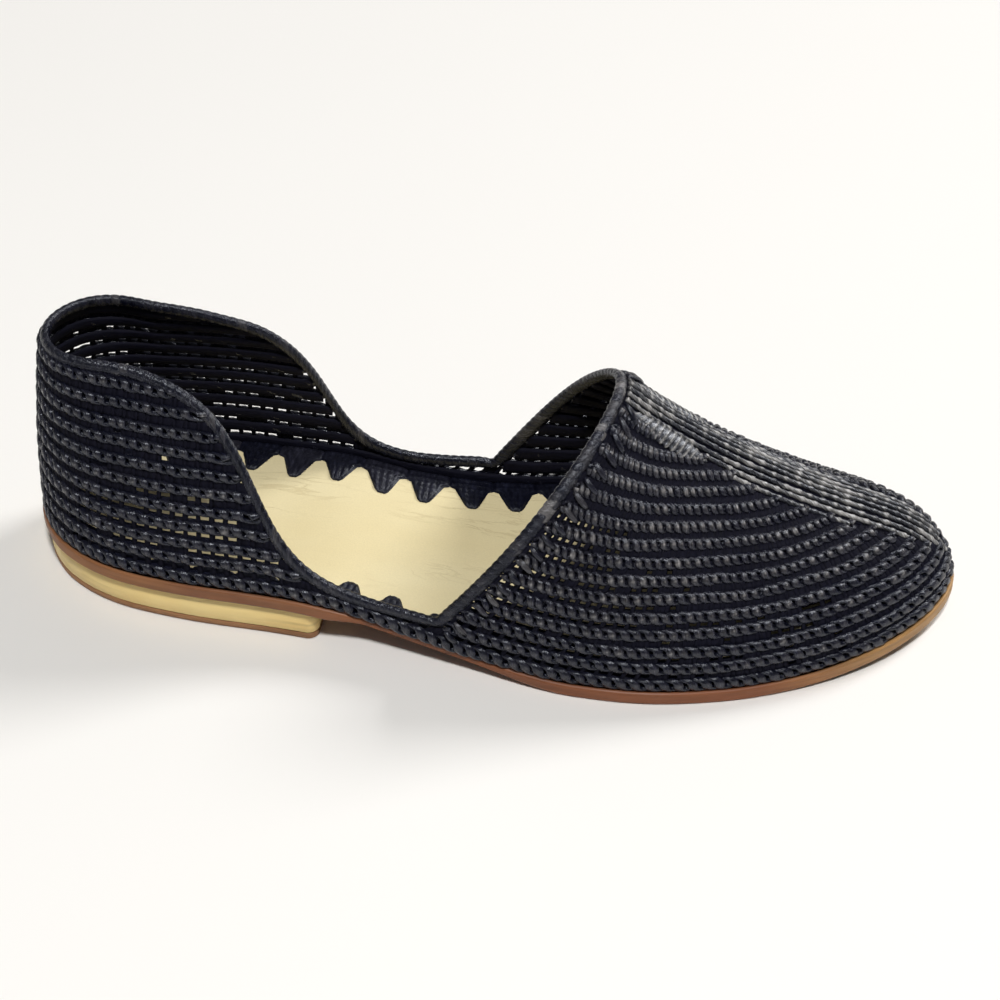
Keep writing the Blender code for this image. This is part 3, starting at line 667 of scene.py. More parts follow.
def vamp_column(side, share, base_x, rim):
    """Points and squeeze of one column of the vamp, with its distances from the heel back and its lifts."""
    part = np.linspace(0, 1, FINE)
    toe = ease(share, TOE_TURN_START, TOE_TURN_END)
    lift = (1 - (1 - part) ** (1 + TOE_CLOSE * toe)) * math.pi / 2
    ridge_x = RIM_RIDGE_X + (RIDGE_END_X - RIM_RIDGE_X) * share
    if share == 1:
        x = RIDGE_TIP + (RIDGE_END_X - RIDGE_TIP) * part ** 2
        lift = np.full_like(x, math.pi / 2)
    else:
        travel = rim(lift) * (1 - share) + (1 - np.cos(lift)) * share
        x = base_x + (ridge_x - base_x) * travel
        x = x * (1 - toe) + upright_path(side, base_x, ridge_x, lift) * toe
    squeeze = FRONT_SQUEEZE - (FRONT_SQUEEZE - RIM_SQUEEZE) * (1 - share) ** SQUEEZE_POWER
    return vamp_point(side, x, lift), squeeze, x, lift


def between(grid, i, j):
    """Value of a grid at places between its entries."""
    low_i = np.clip(np.floor(i).astype(int), 0, grid.shape[0] - 2)
    low_j = np.clip(np.floor(j).astype(int), 0, grid.shape[1] - 2)
    f = np.clip(i - low_i, 0, 1)
    g = np.clip(j - low_j, 0, 1)
    if grid.ndim == 3:
        f = f[..., None]
        g = g[..., None]
    left = grid[low_i, low_j] * (1 - g) + grid[low_i, low_j + 1] * g
    right = grid[low_i + 1, low_j] * (1 - g) + grid[low_i + 1, low_j + 1] * g
    return left * (1 - f) + right * f


class Surface:
    """A surface read at a place along it and a distance across it."""

    def loose(self, place):
        """How much wider than usual the rows lie."""
        return np.ones(len(place))

    def line(self, first, last, distance):
        """Close places along a row, and how far along it each lies."""
        fine = np.linspace(first, last, max(int((last - first) * LINE_POINTS), LINE_LEAST))
        return fine, run_length(self.at(fine, np.full(len(fine), distance)))

    def beads(self, first, last, distance, pitch):
        """Places along a row where its beads lie, with the row's ends."""
        fine, run = self.line(first, last, distance)
        count = max(int(round(run[-1] / pitch)), 2)
        return np.interp(np.linspace(0, run[-1], count + 1), run, fine)

    def axes(self, place, distance, low, high):
        """Directions along the surface, across it and out of it, read between two places."""
        ahead = self.at(np.minimum(place + PLACE_STEP, high), distance)
        along = ahead - self.at(np.maximum(place - PLACE_STEP, low), distance)
        rise = self.at(place, distance + RISE_STEP) - self.at(place, distance - RISE_STEP)
        out = unit(np.cross(along, rise))
        along = unit(along)
        return along, np.cross(out, along), out


class Leaf(Surface):
    """Band over the vamp's ridge: places are distances from the heel back, distances run towards medial."""

    GRAIN = 0.5
    REACH = 18.0
    START_X = 140.0
    END_X = 248.0
    COUNT = 217

    def __init__(self):
        self.x = np.linspace(self.START_X, self.END_X, self.COUNT)
        self.lift = np.linspace(0, math.pi / 2, LEAF_LIFTS)
        knots = column(LEAF, "x")
        self.edge = Curve(knots, column(LEAF, "edge"))
        self.ribs = Curve(knots, column(LEAF, "ribs"))
        self.from_ridge = {}
        halves = {}
        away = np.arange(0, self.REACH, self.GRAIN)
        for side in SIDES:
            points = vamp_point(side, self.x[:, None], self.lift[None])
            step = np.linalg.norm(np.diff(points, axis=1), axis=2)
            run = np.concatenate([np.zeros((self.COUNT, 1)), np.cumsum(step, axis=1)], axis=1)
            self.from_ridge[side] = run[:, -1:] - run
            lifts = np.array([np.interp(away, far[::-1], self.lift[::-1]) for far in self.from_ridge[side]])
            halves[side] = vamp_point(side, self.x[:, None], lifts)
        self.grid = np.concatenate([halves[LATERAL][:, :0:-1], halves[MEDIAL]], axis=1)

    def row(self, x):
        return (np.asarray(x, float) - self.START_X) / (self.END_X - self.START_X) * (self.COUNT - 1)

    def at(self, place, distance):
        across = (np.asarray(distance, float) + self.REACH) / self.GRAIN - 1
        return between(self.grid, self.row(place), across)

    def away(self, side, x, lift):
        """Distance from the ridge across the vamp."""
        return between(self.from_ridge[side], self.row(x), lift / (math.pi / 2) * (len(self.lift) - 1))

    def meets(self, side, x, lift):
        """Place along a column, counted in its points, where it reaches the leaf's edge."""
        over = self.away(side, x, lift) - self.edge(x)
        inside = np.nonzero(over <= 0)[0]
        if len(inside) == 0:
            return len(x) - 1
        k = inside[0]
        return k if k == 0 else k - 1 + over[k - 1] / (over[k - 1] - over[k])

    def rim_x(self, away):
        """Distance from the heel back at which the throat's edge is so far from the ridge."""
        side = LATERAL if away < 0 else MEDIAL
        lift = np.linspace(RIM_LOWEST_LIFT, math.pi / 2, RIM_LIFTS)
        x = rim_path(side, lift)
        return float(np.interp(abs(away), self.away(side, x, lift)[::-1], x[::-1]))


class Wall(Surface):
    """The woven wall: places run round the shoe, distances run up from the feather line."""

    STEP = 8
    GRAIN = 0.5
    REACH = 110.0

    def __init__(self, leaf):
        self.leaf = leaf
        self.distance = np.arange(0, self.REACH, self.GRAIN)
        fine_lift = np.linspace(0, math.pi / 2, WALL_LIFTS)
        count = COLUMNS * self.STEP
        rows = []
        facts = []
        for side in SIDES:
            order = range(count + 1) if side == LATERAL else range(count - 1, 0, -1)
            index = np.array(order) / self.STEP
            start = rim_base(side)
            rim_share = (rim_path(side, fine_lift) - start) / (RIM_RIDGE_X - start)
            for i, x in zip(index, stations(side, index)):
                row, fact = self.read(side, i, x, lambda lift: np.interp(lift, fine_lift, rim_share))
                rows.append(row)
                facts.append(fact)
        self.grid = np.array(rows + rows[:1])
        self.size = len(rows)
        self.index, self.side, self.full, self.end, self.spread, self.slack = np.array(facts, float).T
        run = run_length(self.grid[:, 0])
        self.places = np.arange(2 * self.size + 1)
        self.warp = np.concatenate([run, run[-1] + run[1:]]) * round(run[-1] / WARP_PITCH) / run[-1]

    def read(self, side, index, base_x, rim):
        """One column, read at even distances and drawn on past its end, and what else is kept of it."""
        spread = 1.0
        end = FINE - 1
        if index < HEEL_COLUMNS:
            points, squeeze, spread = heel_column(side, base_x)
        else:
            share = (index - HEEL_COLUMNS) / VAMP_COLUMNS
            points, squeeze, x, lift = vamp_column(side, share, base_x, rim)
            end = self.leaf.meets(side, x, lift)
        run = run_length(points) * squeeze
        end = np.interp(end, np.arange(FINE), run)
        ahead = (points[-1] - points[-3]) / (run[-1] - run[-3])
        past = np.maximum(self.distance - run[-1], 0.0)
        row = along_line(self.distance, run, points) + past[:, None] * ahead
        return row, (index, side, run[-1], end, spread, 1 / squeeze)

    def place_of(self, side, index):
        """Place round the shoe that stands for a column's index."""
        return index * self.STEP if side == LATERAL else self.size - np.asarray(index) * self.STEP

    def at(self, place, distance):
        place = np.asarray(place, float) % self.size
        return between(self.grid, place, np.asarray(distance, float) / self.GRAIN)

    def loose(self, place):
        return self.limit(self.slack, place)

    def beads(self, first, last, distance, pitch):
        low, high = np.interp((first, last), self.places, self.warp)
        inner = np.arange(math.floor(low + WARP_SLACK) + 1, math.ceil(high - WARP_SLACK))
        return np.interp(np.concatenate([[low], inner, [high]]), self.warp, self.places)

    def limit(self, values, place):
        """A value kept for each column, read between columns."""
        place = np.asarray(place, float) % self.size
        low = np.floor(place).astype(int) % self.size
        f = place - np.floor(place)
        return values[low] * (1 - f) + values[(low + 1) % self.size] * f

    def runs(self, valid):
        """Stretches of places round the shoe where a test holds, as (first, last)."""
        if valid.all():
            return [(0, self.size)]
        starts = [i for i in range(self.size) if valid[i] and not valid[i - 1]]
        found = []
        for start in starts:
            end = start
            while valid[(end + 1) % self.size]:
                end += 1
            if end - start > 2:
                found.append((start, end))
        return found


def ring_angles(sides):
    """Angles of a ring's corners."""
    return np.arange(sides) * 2 * math.pi / sides


def grid_faces(rows, cols, round_rows=False, round_cols=False):
    """Quads between neighbours of a grid of points, whose rows or columns may run all the way round."""
    i = np.arange(rows - 1 + round_rows)[:, None]
    j = np.arange(cols - 1 + round_cols)[None]
    after = (i + 1) % rows
    beside = (j + 1) % cols
    corners = (i * cols + j, i * cols + beside, after * cols + beside, after * cols + j)
    return np.stack(np.broadcast_arrays(*corners), -1).reshape(-1, 4)


# Corners of a quad that faces the other way
TURNED = [0, 3, 2, 1]


class Bundle:
    """Strands gathered into one mesh, each with its own tint and the run of its fibres."""

    def __init__(self):
        self.points = []
        self.fibre = []
        self.tint = []
        self.quads = []
        self.triangles = []
        self.size = 0

    def add(self, points, fibre, tint, quads, triangles=np.zeros((0, 3), int)):
        self.points.append(points)
        self.fibre.append(fibre)
        self.tint.append(np.broadcast_to(tint, len(points)))
        self.quads.append(quads + self.size)
        self.triangles.append(triangles + self.size)
        self.size += len(points)

    def tube(self, centre, across, over, wide, thick, sides, tint):
        """A strand along its centre line: across and over are the directions of its width and thickness."""
        count = len(centre)
        angle = ring_angles(sides)
        wide = np.broadcast_to(wide, count)[:, None, None]
        thick = np.broadcast_to(thick, count)[:, None, None]
        ring = across[:, None] * np.cos(angle)[:, None] * wide
        ring = ring + over[:, None] * np.sin(angle)[:, None] * thick
        points = (centre[:, None] + ring).reshape(-1, 3)
        along = run_length(centre)[:, None] * FIBRE_LONG + RANDOM.uniform(0, FIBRE_START)
        fibre = (along, FIBRE_ROUND * np.cos(angle), FIBRE_ROUND * np.sin(angle))
        fibre = np.stack(np.broadcast_arrays(*fibre), -1).reshape(-1, 3)
        tint = np.broadcast_to(tint, (count, sides)).ravel()
        ends = [0, -1]
        side = np.arange(sides)
        beside = np.roll(side, -1)
        tip = np.full(sides, count * sides)
        last = (count - 1) * sides
        caps = [np.stack([beside, side, tip], -1), np.stack([last + side, last + beside, tip + 1], -1)]
        self.add(
            np.concatenate([points, centre[ends]]),
            np.concatenate([fibre, fibre[ends]]),
            np.concatenate([tint, tint[ends]]),
            grid_faces(count, sides, round_cols=True),
            np.concatenate(caps),
        )

    def object(self, name, material, slot, *nodes):
        """The gathered strands as one smooth mesh that stands for CAD nodes."""
        faces = [np.concatenate(self.quads), np.concatenate(self.triangles)]
        values = {"fibre": np.concatenate(self.fibre), "tint": np.concatenate(self.tint)}
        add_mesh(name, np.concatenate(self.points), faces, material, slot, nodes, values)


def frame_shift():
    """Moves the heel back's frame to the middle of the outsole's box."""
    around = outline(np.linspace(0, 2 * math.pi, BOX_POINTS), 0.0)
    return np.array([*(around.min(axis=0) + around.max(axis=0)) / -2, 0.0])


SHIFT = frame_shift()


def add_object(name, data):
    """A new object in the scene."""
    made = bpy.data.objects.new(name, data)
    bpy.context.scene.collection.objects.link(made)
    return made


def add_mesh(name, points, groups, material, slot, nodes, values=None):
    """A mesh piece from points in mm and groups of equal-sided faces, riding on the shoe."""
    mesh = bpy.data.meshes.new(name)
    corners = np.concatenate([group.ravel() for group in groups]).astype(np.int32)
    totals = np.concatenate([np.full(len(group), group.shape[1]) for group in groups]).astype(np.int32)
    starts = np.concatenate([[0], np.cumsum(totals)[:-1]]).astype(np.int32)
    mesh.vertices.add(len(points))
    mesh.vertices.foreach_set("co", ((points + SHIFT) * MM).astype(np.float32).ravel())
    mesh.loops.add(len(corners))
    mesh.loops.foreach_set("vertex_index", corners)
    mesh.polygons.add(len(totals))
    mesh.polygons.foreach_set("loop_start", starts)
    mesh.polygons.foreach_set("use_smooth", np.full(len(totals), True))
    for key, value in (values or {}).items():
        kind, field = ("FLOAT_VECTOR", "vector") if value.ndim == 2 else ("FLOAT", "value")
        attribute = mesh.attributes.new(key, kind, "POINT")
        attribute.data.foreach_set(field, value.astype(np.float32).ravel())
    mesh.update(calc_edges=True)
    mesh.validate()
    mesh.materials.append(material)
    piece = add_object(name, mesh)
    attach(piece, "root")
    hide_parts(*nodes)


def wander(run, size, length):
    """Slow random drift along a strand, of a given size, changing over a given length."""
    knots = np.arange(-length, run[-1] + 2 * length, length)
    values = RANDOM.normal(0, size, len(knots))
    return smooth(knots, values, run)


# Sizes of two strands twined round each other
Rope = namedtuple("Rope", "pitch rise swell wide thick steep proud")
HEEL_ROPE = Rope(WARP_PITCH, HEEL_RISE, ROPE_SWELL, STRAND_WIDE, STRAND_THICK, STEEP, 0.0)
VAMP_ROPE = HEEL_ROPE._replace(rise=VAMP_RISE)
SOLE_ROPE = HEEL_ROPE._replace(rise=SOLE_ROW_RISE)
RIB_ROPE = Rope(RIB_BEAD, RIB_RISE, RIB_SWELL, RIB_WIDE, RIB_THICK, RIB_STEEP, RIB_PROUD)


def twine(bundle, surface, first, last, distance, rope, tone, spread):
    """Two strands twined round each other along a row of a surface."""
    edges = surface.beads(first, last, distance, rope.pitch)
    beads = len(edges) - 1
    marks = np.arange(beads + 1)
    run = run_length(surface.at(edges, np.full(beads + 1, distance)))
    phase = np.linspace(0, beads * math.pi, beads * BEAD_STEPS + 1)
    drift = wander(run, *ROW_DRIFT)
    bead_tint = np.clip(RANDOM.normal(tone, spread, beads + 3), 0, min(BEAD_OVER + tone, 1.0))
    # Share of each strand's ring that faces out, for the painted highlight on bead crests
    facing = np.clip(np.sin(ring_angles(STRAND_SIDES)), 0, 1)
    for strand in range(2):
        turn = phase + strand * math.pi
        bead = (phase - rope.steep * np.sin(2 * phase)) / math.pi + wander(phase, *BEAD_DRIFT)
        bead = np.clip(bead, 0, beads)
        place = np.interp(bead, marks, edges)
        level = distance + np.interp(bead, marks, drift)
        _, up, out = surface.axes(place, level, first, last)
        size = 1 + wander(phase, *GIRTH_DRIFT)
        front = np.cos(turn)[:, None]
        above = -np.sin(turn)[:, None]
        radial = out * front * rope.swell + up * above * rope.rise * surface.loose(place)[:, None]
        centre = surface.at(place, level) + out * (rope.proud - WALL / 4) + radial * size[:, None]
        tangent = unit(np.gradient(centre, axis=0))
        over = square_to(tangent, out * front + up * above)
        across = np.cross(tangent, over)
        length = np.interp(bead, marks[:-1] + 0.5, np.diff(run)) / rope.pitch
        length = np.clip(length, SHORTEST_BEAD, LONGEST_BEAD)
        girth = size * length * (STRAND_LEAST + (1 - STRAND_LEAST) * front[:, 0] ** 2)
        tint = np.interp(phase / math.pi, np.arange(beads + 3), bead_tint)
        # Painted highlight: each bead is paler at the crest of its outward pass
        crest_highlight = np.clip(front, 0, 1) ** CREST_HIGHLIGHT_FRONT * facing ** CREST_HIGHLIGHT_TOP
        tint = np.clip(tint[:, None] + CREST_HIGHLIGHT_TINT * crest_highlight, 0, 1)
        bundle.tube(centre, across, over, rope.wide * girth, rope.thick * size, STRAND_SIDES, tint)


def back_strand(bundle, surface, first, last, distance, high, proud):
    """A flat strand behind a row, which closes the row towards the inside."""
    fine, run = surface.line(first, last, distance)
    place = np.interp(np.linspace(0, run[-1], max(int(run[-1] / CORE_STEP), CORE_LEAST)), run, fine)
    level = np.full(len(place), distance)
    _, up, out = surface.axes(place, level, first, last)
    centre = surface.at(place, level) + out * (proud - WALL / 4 - CORE_DEEP)
    bundle.tube(centre, up, out, high * surface.loose(place), CORE_THICK, CORE_SIDES, CORE_TINT)


def open_chance(side, index, furrow):
    """How likely a cell of a furrow is open."""
    chances = [
        chance
        for where, first, last, low, high, chance in OPEN[1:]
        if where == side and first <= index <= last and low <= furrow <= high
    ]
    return max(chances, default=0.0)


def stem(bundle, wall, place, low, high, wide, first, last):
    """One short upright strand in a furrow."""
    distance = np.linspace(low, high, STEM_POINTS)
    places = np.full(STEM_POINTS, place)
    along, _, out = wall.axes(places, distance, first, last)
    lean = RANDOM.normal(0, STEM_LEAN) * np.linspace(-1, 1, STEM_POINTS)
    centre = wall.at(places, distance) - out * WALL / 3 + along * lean[:, None]
    thick = STEM_THICK if wide < FILL_WIDE else FILL_THICK
    bundle.tube(centre, along, out, wide, thick, STEM_SIDES, RANDOM.uniform(*STEM_TINTS))


def is_open(wall, place, middle, furrow):
    """Whether a cell of a furrow is left open: never beside a steep topline."""
    spot = int(place) % wall.size
    step = wall.limit(wall.end, place + LEVEL_SPAN) - wall.limit(wall.end, place - LEVEL_SPAN)
    clear = wall.limit(wall.end, place) > middle + ROW_PITCH / 2 or abs(step) < LEVEL_EDGE
    return clear and RANDOM.random() < open_chance(wall.side[spot], wall.index[spot], furrow)


def fill_furrow(bundle, wall, furrow, first, last):
    """Upright strands between two rows, with some of the cells left open."""
    middle = furrow * ROW_PITCH
    low = middle - ROW_PITCH / 2 + STEM_TUCK
    edges = wall.beads(first, last, middle, WARP_PITCH)
    centres = (edges[1:] + edges[:-1]) / 2
    opened = [is_open(wall, place, middle, furrow) for place in centres]
    strands = [(place, FILL_WIDE) for place, gap in zip(centres, opened) if not gap]
    for place, before, after in zip(edges, [False, *opened], [*opened, False]):
        if not (before and after and RANDOM.random() < STEM_MISSING):
            strands.append((place, RANDOM.uniform(STEM_LEAST, STEM_MOST)))
    for place, wide in strands:
        end = float(wall.limit(wall.end, place)) + STEM_OVER
        top = min(middle + ROW_PITCH / 2 - STEM_TUCK, end)
        if top - low > STEM_SHORTEST:
            stem(bundle, wall, place, low, top, wide, first, last)


def weave_upper(wall, material, furrow_shade):
    """All rows of the upper and the furrows between them."""
    heel = Bundle()
    vamp = Bundle()
    backs = Bundle()
    stems = Bundle()
    for row in range(int(wall.end.max() / ROW_PITCH) + 1):
        distance = (row + 0.5) * ROW_PITCH
        for first, last in wall.runs(distance <= wall.end + ROW_SLACK):
            middle = wall.index[int((first + last) / 2) % wall.size]
            in_heel = middle < HEEL_COLUMNS
            # The lowest vamp rows are darker: painted shade near the sole
            tone = HEEL_TONE if in_heel else SOLE_SHADE_TONE + (VAMP_TONE - SOLE_SHADE_TONE) * ease(row, 0, SOLE_SHADE_ROWS)
            if row:
                rope = HEEL_ROPE if in_heel else VAMP_ROPE
                twine(heel if in_heel else vamp, wall, first, last, distance, rope, tone, ROW_SPREAD)
            else:
                twine(vamp, wall, first, last, distance - SOLE_ROW_DROP, SOLE_ROPE, tone, ROW_SPREAD)
            hole = HEEL_HOLE_HIGH if in_heel else VAMP_HOLE_HIGH
            back_strand(backs, wall, first, last, distance, (ROW_PITCH - hole) / 2, 0.0)
        for first, last in wall.runs(distance + STEM_TUCK <= wall.end):
            fill_furrow(stems, wall, row + 1, first, last)
    heel.object("heel_twining", material, "raffia", "upper")
    vamp.object("vamp_twining", material, "raffia", "upper")
    backs.object("row_backs", furrow_shade, "raffia", "upper")
    stems.object("upright_strands", furrow_shade, "raffia", "upper")


def leaf_pad(bundle, leaf, side):
    """A slim pad wound with fine strands, beside the start of the leaf's ribs."""
    part = np.linspace(0, 1, PAD_POINTS)
    x = PAD_START_X + (PAD_END_X - PAD_START_X) * part
    away = side * ((leaf.edge(x) + leaf.ribs(x)) / 2 + PAD_OUT)
    _, over, out = leaf.axes(x, away, PAD_START_X, PAD_END_X)
    angle = ring_angles(PAD_SIDES)
    turn = part[:, None] * PAD_WRAPS + side * np.cos(angle)[None] * PAD_LEAN
    swell = np.abs(np.sin(math.pi * turn)) ** PAD_ROUND
    slim = (np.sin(math.pi * part) ** PAD_TAPER)[:, None]
    size = slim * (PAD_VALLEY + PAD_SWELL * swell) + PAD_LEAST
    # Painted shade in the grooves between wraps and painted sheen on their swells
    tint = PAD_GROOVE_SHADE + (1 - PAD_GROOVE_SHADE) * swell ** 2
    points = leaf.at(x, away)[:, None] + over[:, None] * (np.cos(angle) * PAD_HALF * size)[..., None]
    points = points + out[:, None] * (np.sin(angle) * PAD_THICK * size)[..., None]
    fibre = np.stack(np.broadcast_arrays(np.cos(angle), turn * PAD_FIBRE, np.sin(angle)), -1)
    quads = grid_faces(PAD_POINTS, PAD_SIDES, round_cols=True)[:, TURNED]
    ring = np.arange(PAD_SIDES)
    ends = np.stack([ring, np.roll(ring, -1), np.zeros_like(ring)], -1)[1:-1]
    last = (PAD_POINTS - 1) * PAD_SIDES
    triangles = np.concatenate([ends, (last + ends)[:, ::-1]])
    bundle.add(points.reshape(-1, 3), fibre.reshape(-1, 3), tint.ravel(), quads, triangles)


def leaf_lines(leaf, width, lap):
    """Start, end and distance from the ridge of lines over the leaf, as far out as a width and a lap go."""
    x = np.linspace(leaf.START_X, leaf.END_X, LEAF_POINTS)
    reach = width(x) + lap
    count = int(reach.max() / RIB_PITCH)
    for line in range(-count, count + 1):
        away = line * RIB_PITCH
        inside = x[(reach >= abs(away)) & (x >= leaf.rim_x(away))]
        yield inside[0], inside[-1], away


def weave_leaf(leaf, material, furrow_shade):
    """Lengthwise ribs over the vamp, at even distances from its ridge, with a pad on each side."""
    ribs = Bundle()
    backs = Bundle()
    for first, last, away in leaf_lines(leaf, leaf.ribs, 0.0):
        twine(ribs, leaf, first, last, away, RIB_ROPE, RIB_TONE, RIB_SPREAD)
    for first, last, away in leaf_lines(leaf, leaf.edge, LEAF_LAP):
        back_strand(backs, leaf, first, last, away, RIB_CORE, RIB_PROUD)
    for side in SIDES:
        leaf_pad(ribs, leaf, side)
    ribs.object("leaf_ribs", material, "raffia", "upper")
    backs.object("leaf_backs", furrow_shade, "raffia", "upper")


def collar_rim(wall, side):
    """Middle of the rolled edge over the heel cup and the waist, with its directions up and out."""
    bounds = sorted((wall.place_of(side, -1), wall.place_of(side, HEEL_COLUMNS - RIM_LAST)))
    for index in np.arange(0, HEEL_COLUMNS, 1 / wall.STEP):
        spot = int(round(wall.place_of(side, index) % wall.size)) % wall.size
        end = wall.end[spot]
        top = wall.at(spot, end)
        _, _, out = wall.axes(np.array([float(spot)]), np.array([end - RISE_STEP]), *bounds)
        rise = unit(top - wall.at(spot, end - RIM_BELOW))
        upright = unit(rise * np.array([0.0, 1.0, 1.0]))
        share = ease(wall.grid[spot, 0, 0], SLANT_START_X, UPRIGHT_END_X)
        rise = (rise * (1 - share) + upright * share) * wall.spread[spot]
        yield top - out[0] * (WALL / 2) + rise * RIM_REACH, rise, out[0]


def throat_rim(wall, side):
    """Middle of the rolled edge up the throat, with its directions back and out."""
    spot = int(wall.place_of(side, HEEL_COLUMNS)) % wall.size
    bounds = sorted((spot, spot - side * THROAT_SPAN))
    for distance in np.arange(THROAT_START, wall.full[spot], THROAT_STEP):
        point = wall.at(spot, distance)
        x = point[0]
        height = (point[2] - feather(x)) / (ridge(x, "z") - feather(x))
        lift = math.asin(np.clip(height, 0, 1))
        back = unit(vamp_point(side, x - PLAN_STEP, lift) - vamp_point(side, x, lift))
        back = back * (RIM_STRETCH - RIM_STRETCH_DROP * math.sin(lift) ** 3)
        _, _, out = wall.axes(np.array([float(spot)]), np.array([distance]), *bounds)
        yield point - out[0] * (WALL / 2) + back * RIM_REACH, back, out[0]


def rim_loop(wall):
    """Middle line of the rolled topline with its directions up and out, all the way round."""
    loop = []
    for side in SIDES:
        part = [*collar_rim(wall, side), *throat_rim(wall, side)]
        loop.extend(part if side == LATERAL else part[:0:-1])
    return [np.array(line) for line in zip(*loop)]


def even_loop(step, *lines):
    """Closed lines read again at even steps along the first of them, and softened a little."""
    closed = [np.concatenate([line, line[:1]]) for line in lines]
    run = run_length(closed[0])
    at = np.linspace(0, run[-1], int(run[-1] / step), endpoint=False)
    reach = int(BINDING_SOFT / step)
    weight = np.hanning(2 * reach + 3)[1:-1]
    weight /= weight.sum()
    made = []
    for line in closed:
        even = along_line(at, run, line)
        wrapped = np.concatenate([even[-reach:], even, even[:reach]])
        made.append(np.stack([np.convolve(wrapped[:, k], weight, "valid") for k in range(3)], -1))
    return made


def roll_binding(wall, material):
    """Rolled topline wound with slanting strands."""
    centre, up, out = even_loop(BINDING_STEP, *rim_loop(wall))
    run = run_length(np.concatenate([centre, centre[:1]]))
    wraps = round(run[-1] / WRAP_PITCH)
    angle = ring_angles(BINDING_SIDES)
    turn = run[:-1, None] / run[-1] * wraps + angle[None] / (2 * math.pi) * WRAP_LEAN
    swell = np.abs(np.sin(math.pi * turn)) ** WRAP_ROUND
    half_up = np.linalg.norm(up, axis=1)[:, None] * BINDING_WIDTH / 2 + BINDING_PROUD
    half_out = WALL / 2 + BINDING_SWELL
    size = 1 - WRAP_DEPTH * (1 - swell)
    points = centre[:, None] + unit(up)[:, None] * (np.sin(angle) * half_up * size)[..., None]
    points = points + out[:, None] * (np.cos(angle) * half_out * size)[..., None]
    wrap = np.floor(turn).astype(int) % wraps
    tints = np.clip(RANDOM.normal(WRAP_TONE, WRAP_SPREAD, wraps), 0, WRAP_PALEST)
    # Painted highlight: the rolled edge grows paler towards the throat
    tint = tints[wrap] + RIM_THROAT_HIGHLIGHT * ease(centre[:, :1], THROAT_HIGHLIGHT_START_X, THROAT_X)
    round_rim, start, across, apart = WRAP_FIBRE
    fibre = np.stack([angle[None] * round_rim + wrap * start, (turn % 1) * across, wrap * apart], -1)
    quads = grid_faces(len(centre), BINDING_SIDES, round_rows=True, round_cols=True)[:, TURNED]
    bundle = Bundle()
    bundle.add(points.reshape(-1, 3), fibre.reshape(-1, 3), tint.ravel(), quads)
    bundle.object("rolled_topline", material, "raffia", "topline_binding")


def whip_stitches(wall, material):
    """Slanting stitches over the starts of the rows, beside the throat's rolled edge."""
    bundle = Bundle()
    part = np.linspace(0, 1, WHIP_POINTS)
    arch = WHIP_LOW + WHIP_ARCH * np.sin(part * math.pi)
    blunt = np.clip(part * (1 - 2 * WHIP_BLUNT) + WHIP_BLUNT, 0, 1)
    shape = np.sin(blunt * math.pi) ** WHIP_ROUND
    for side in SIDES:
        start = wall.place_of(side, HEEL_COLUMNS)
        bounds = sorted((start, start - side * WHIP_ROOM))
        top = wall.full[int(start) % wall.size]
        for distance in np.arange(ROW_PITCH, top - WHIP_END, WHIP_PITCH):
            ahead = wall.at(start - side * WHIP_SPAN, distance) - wall.at(start, distance)
            scale = max(np.linalg.norm(ahead) / WHIP_SPAN, WHIP_TIGHTEST)
            place = start - side * (WHIP_START + part * WHIP_LENGTH / scale)
            level = distance + WHIP_LEAN * (WHIP_MIDDLE - part)
            _, _, out = wall.axes(place, level, *bounds)
            centre = wall.at(place, level) + out * arch[:, None]
            tangent = unit(np.gradient(centre, axis=0))
            over = square_to(tangent, out)
            across = np.cross(tangent, over)
            tint = RANDOM.uniform(*WHIP_TINTS)
            bundle.tube(centre, across, over, WHIP_WIDE * shape, WHIP_THICK * shape, WHIP_SIDES, tint)
    bundle.object("whip_stitches", material, "raffia", "upper")


def slab_faces(rows, cols):
    """Faces of a slab: a grid of points on top, the same grid below, and the edge between them."""
    grid = np.arange(rows * cols).reshape(rows, cols)
    edge = np.concatenate([grid[0], grid[1:, -1], grid[-1, -2::-1], grid[-2:0:-1, 0]])
    after = np.roll(edge, -1)
    below = rows * cols
    top = grid_faces(rows, cols)
    sides = np.stack([after, edge, edge + below, after + below], -1)
    return np.concatenate([top, top[:, ::-1] + below, sides])


def point_outline(medial, pitch, depth):
    """Distances from the wall along one point, half its width there, and how far it has narrowed."""
    band = POINT_CLEAR + POINT_BAND_LATERAL + (POINT_BAND_MEDIAL - POINT_BAND_LATERAL) * medial
    tip = band + POINT_DEPTH_LATERAL + (POINT_DEPTH_MEDIAL - POINT_DEPTH_LATERAL) * medial
    tip *= RANDOM.uniform(POINT_SHORTEST, POINT_LONGEST)
    deep = depth * tip
    valley = band * POINT_NOTCH
    taper = np.clip((deep - valley) / (tip - valley), 0, 1)
    blunt = np.sqrt(np.clip(1 - (np.maximum(depth - POINT_BLUNT, 0) / POINT_ROUND) ** 2, 0, 1))
    base = np.where(taper > 0, pitch / 2 - POINT_VALLEY, pitch / 2 + POINT_LAP)
    return deep, (base * (1 - taper) + POINT_NARROW * POINT_TIP * taper) * blunt, taper


def point_relief(deep, wide, across, depth):
    """Thickness of a point: it thins out at its edges and has the bumps of a weave."""
    rows = np.sin(deep[:, None] * math.pi / POINT_WEAVE_LONG)
    weave = np.abs(rows * np.cos(wide * math.pi / POINT_WEAVE_WIDE))
    sides = np.sqrt(np.clip(1 - across ** POINT_SIDE_ROUND, 0, 1))[None]
    crown = sides * np.sqrt(np.clip(POINT_END - depth ** POINT_END_ROUND, 0, 1))[:, None]
    return POINT_THICK * crown * (POINT_FLAT + POINT_RELIEF * weave ** POINT_BUMP)


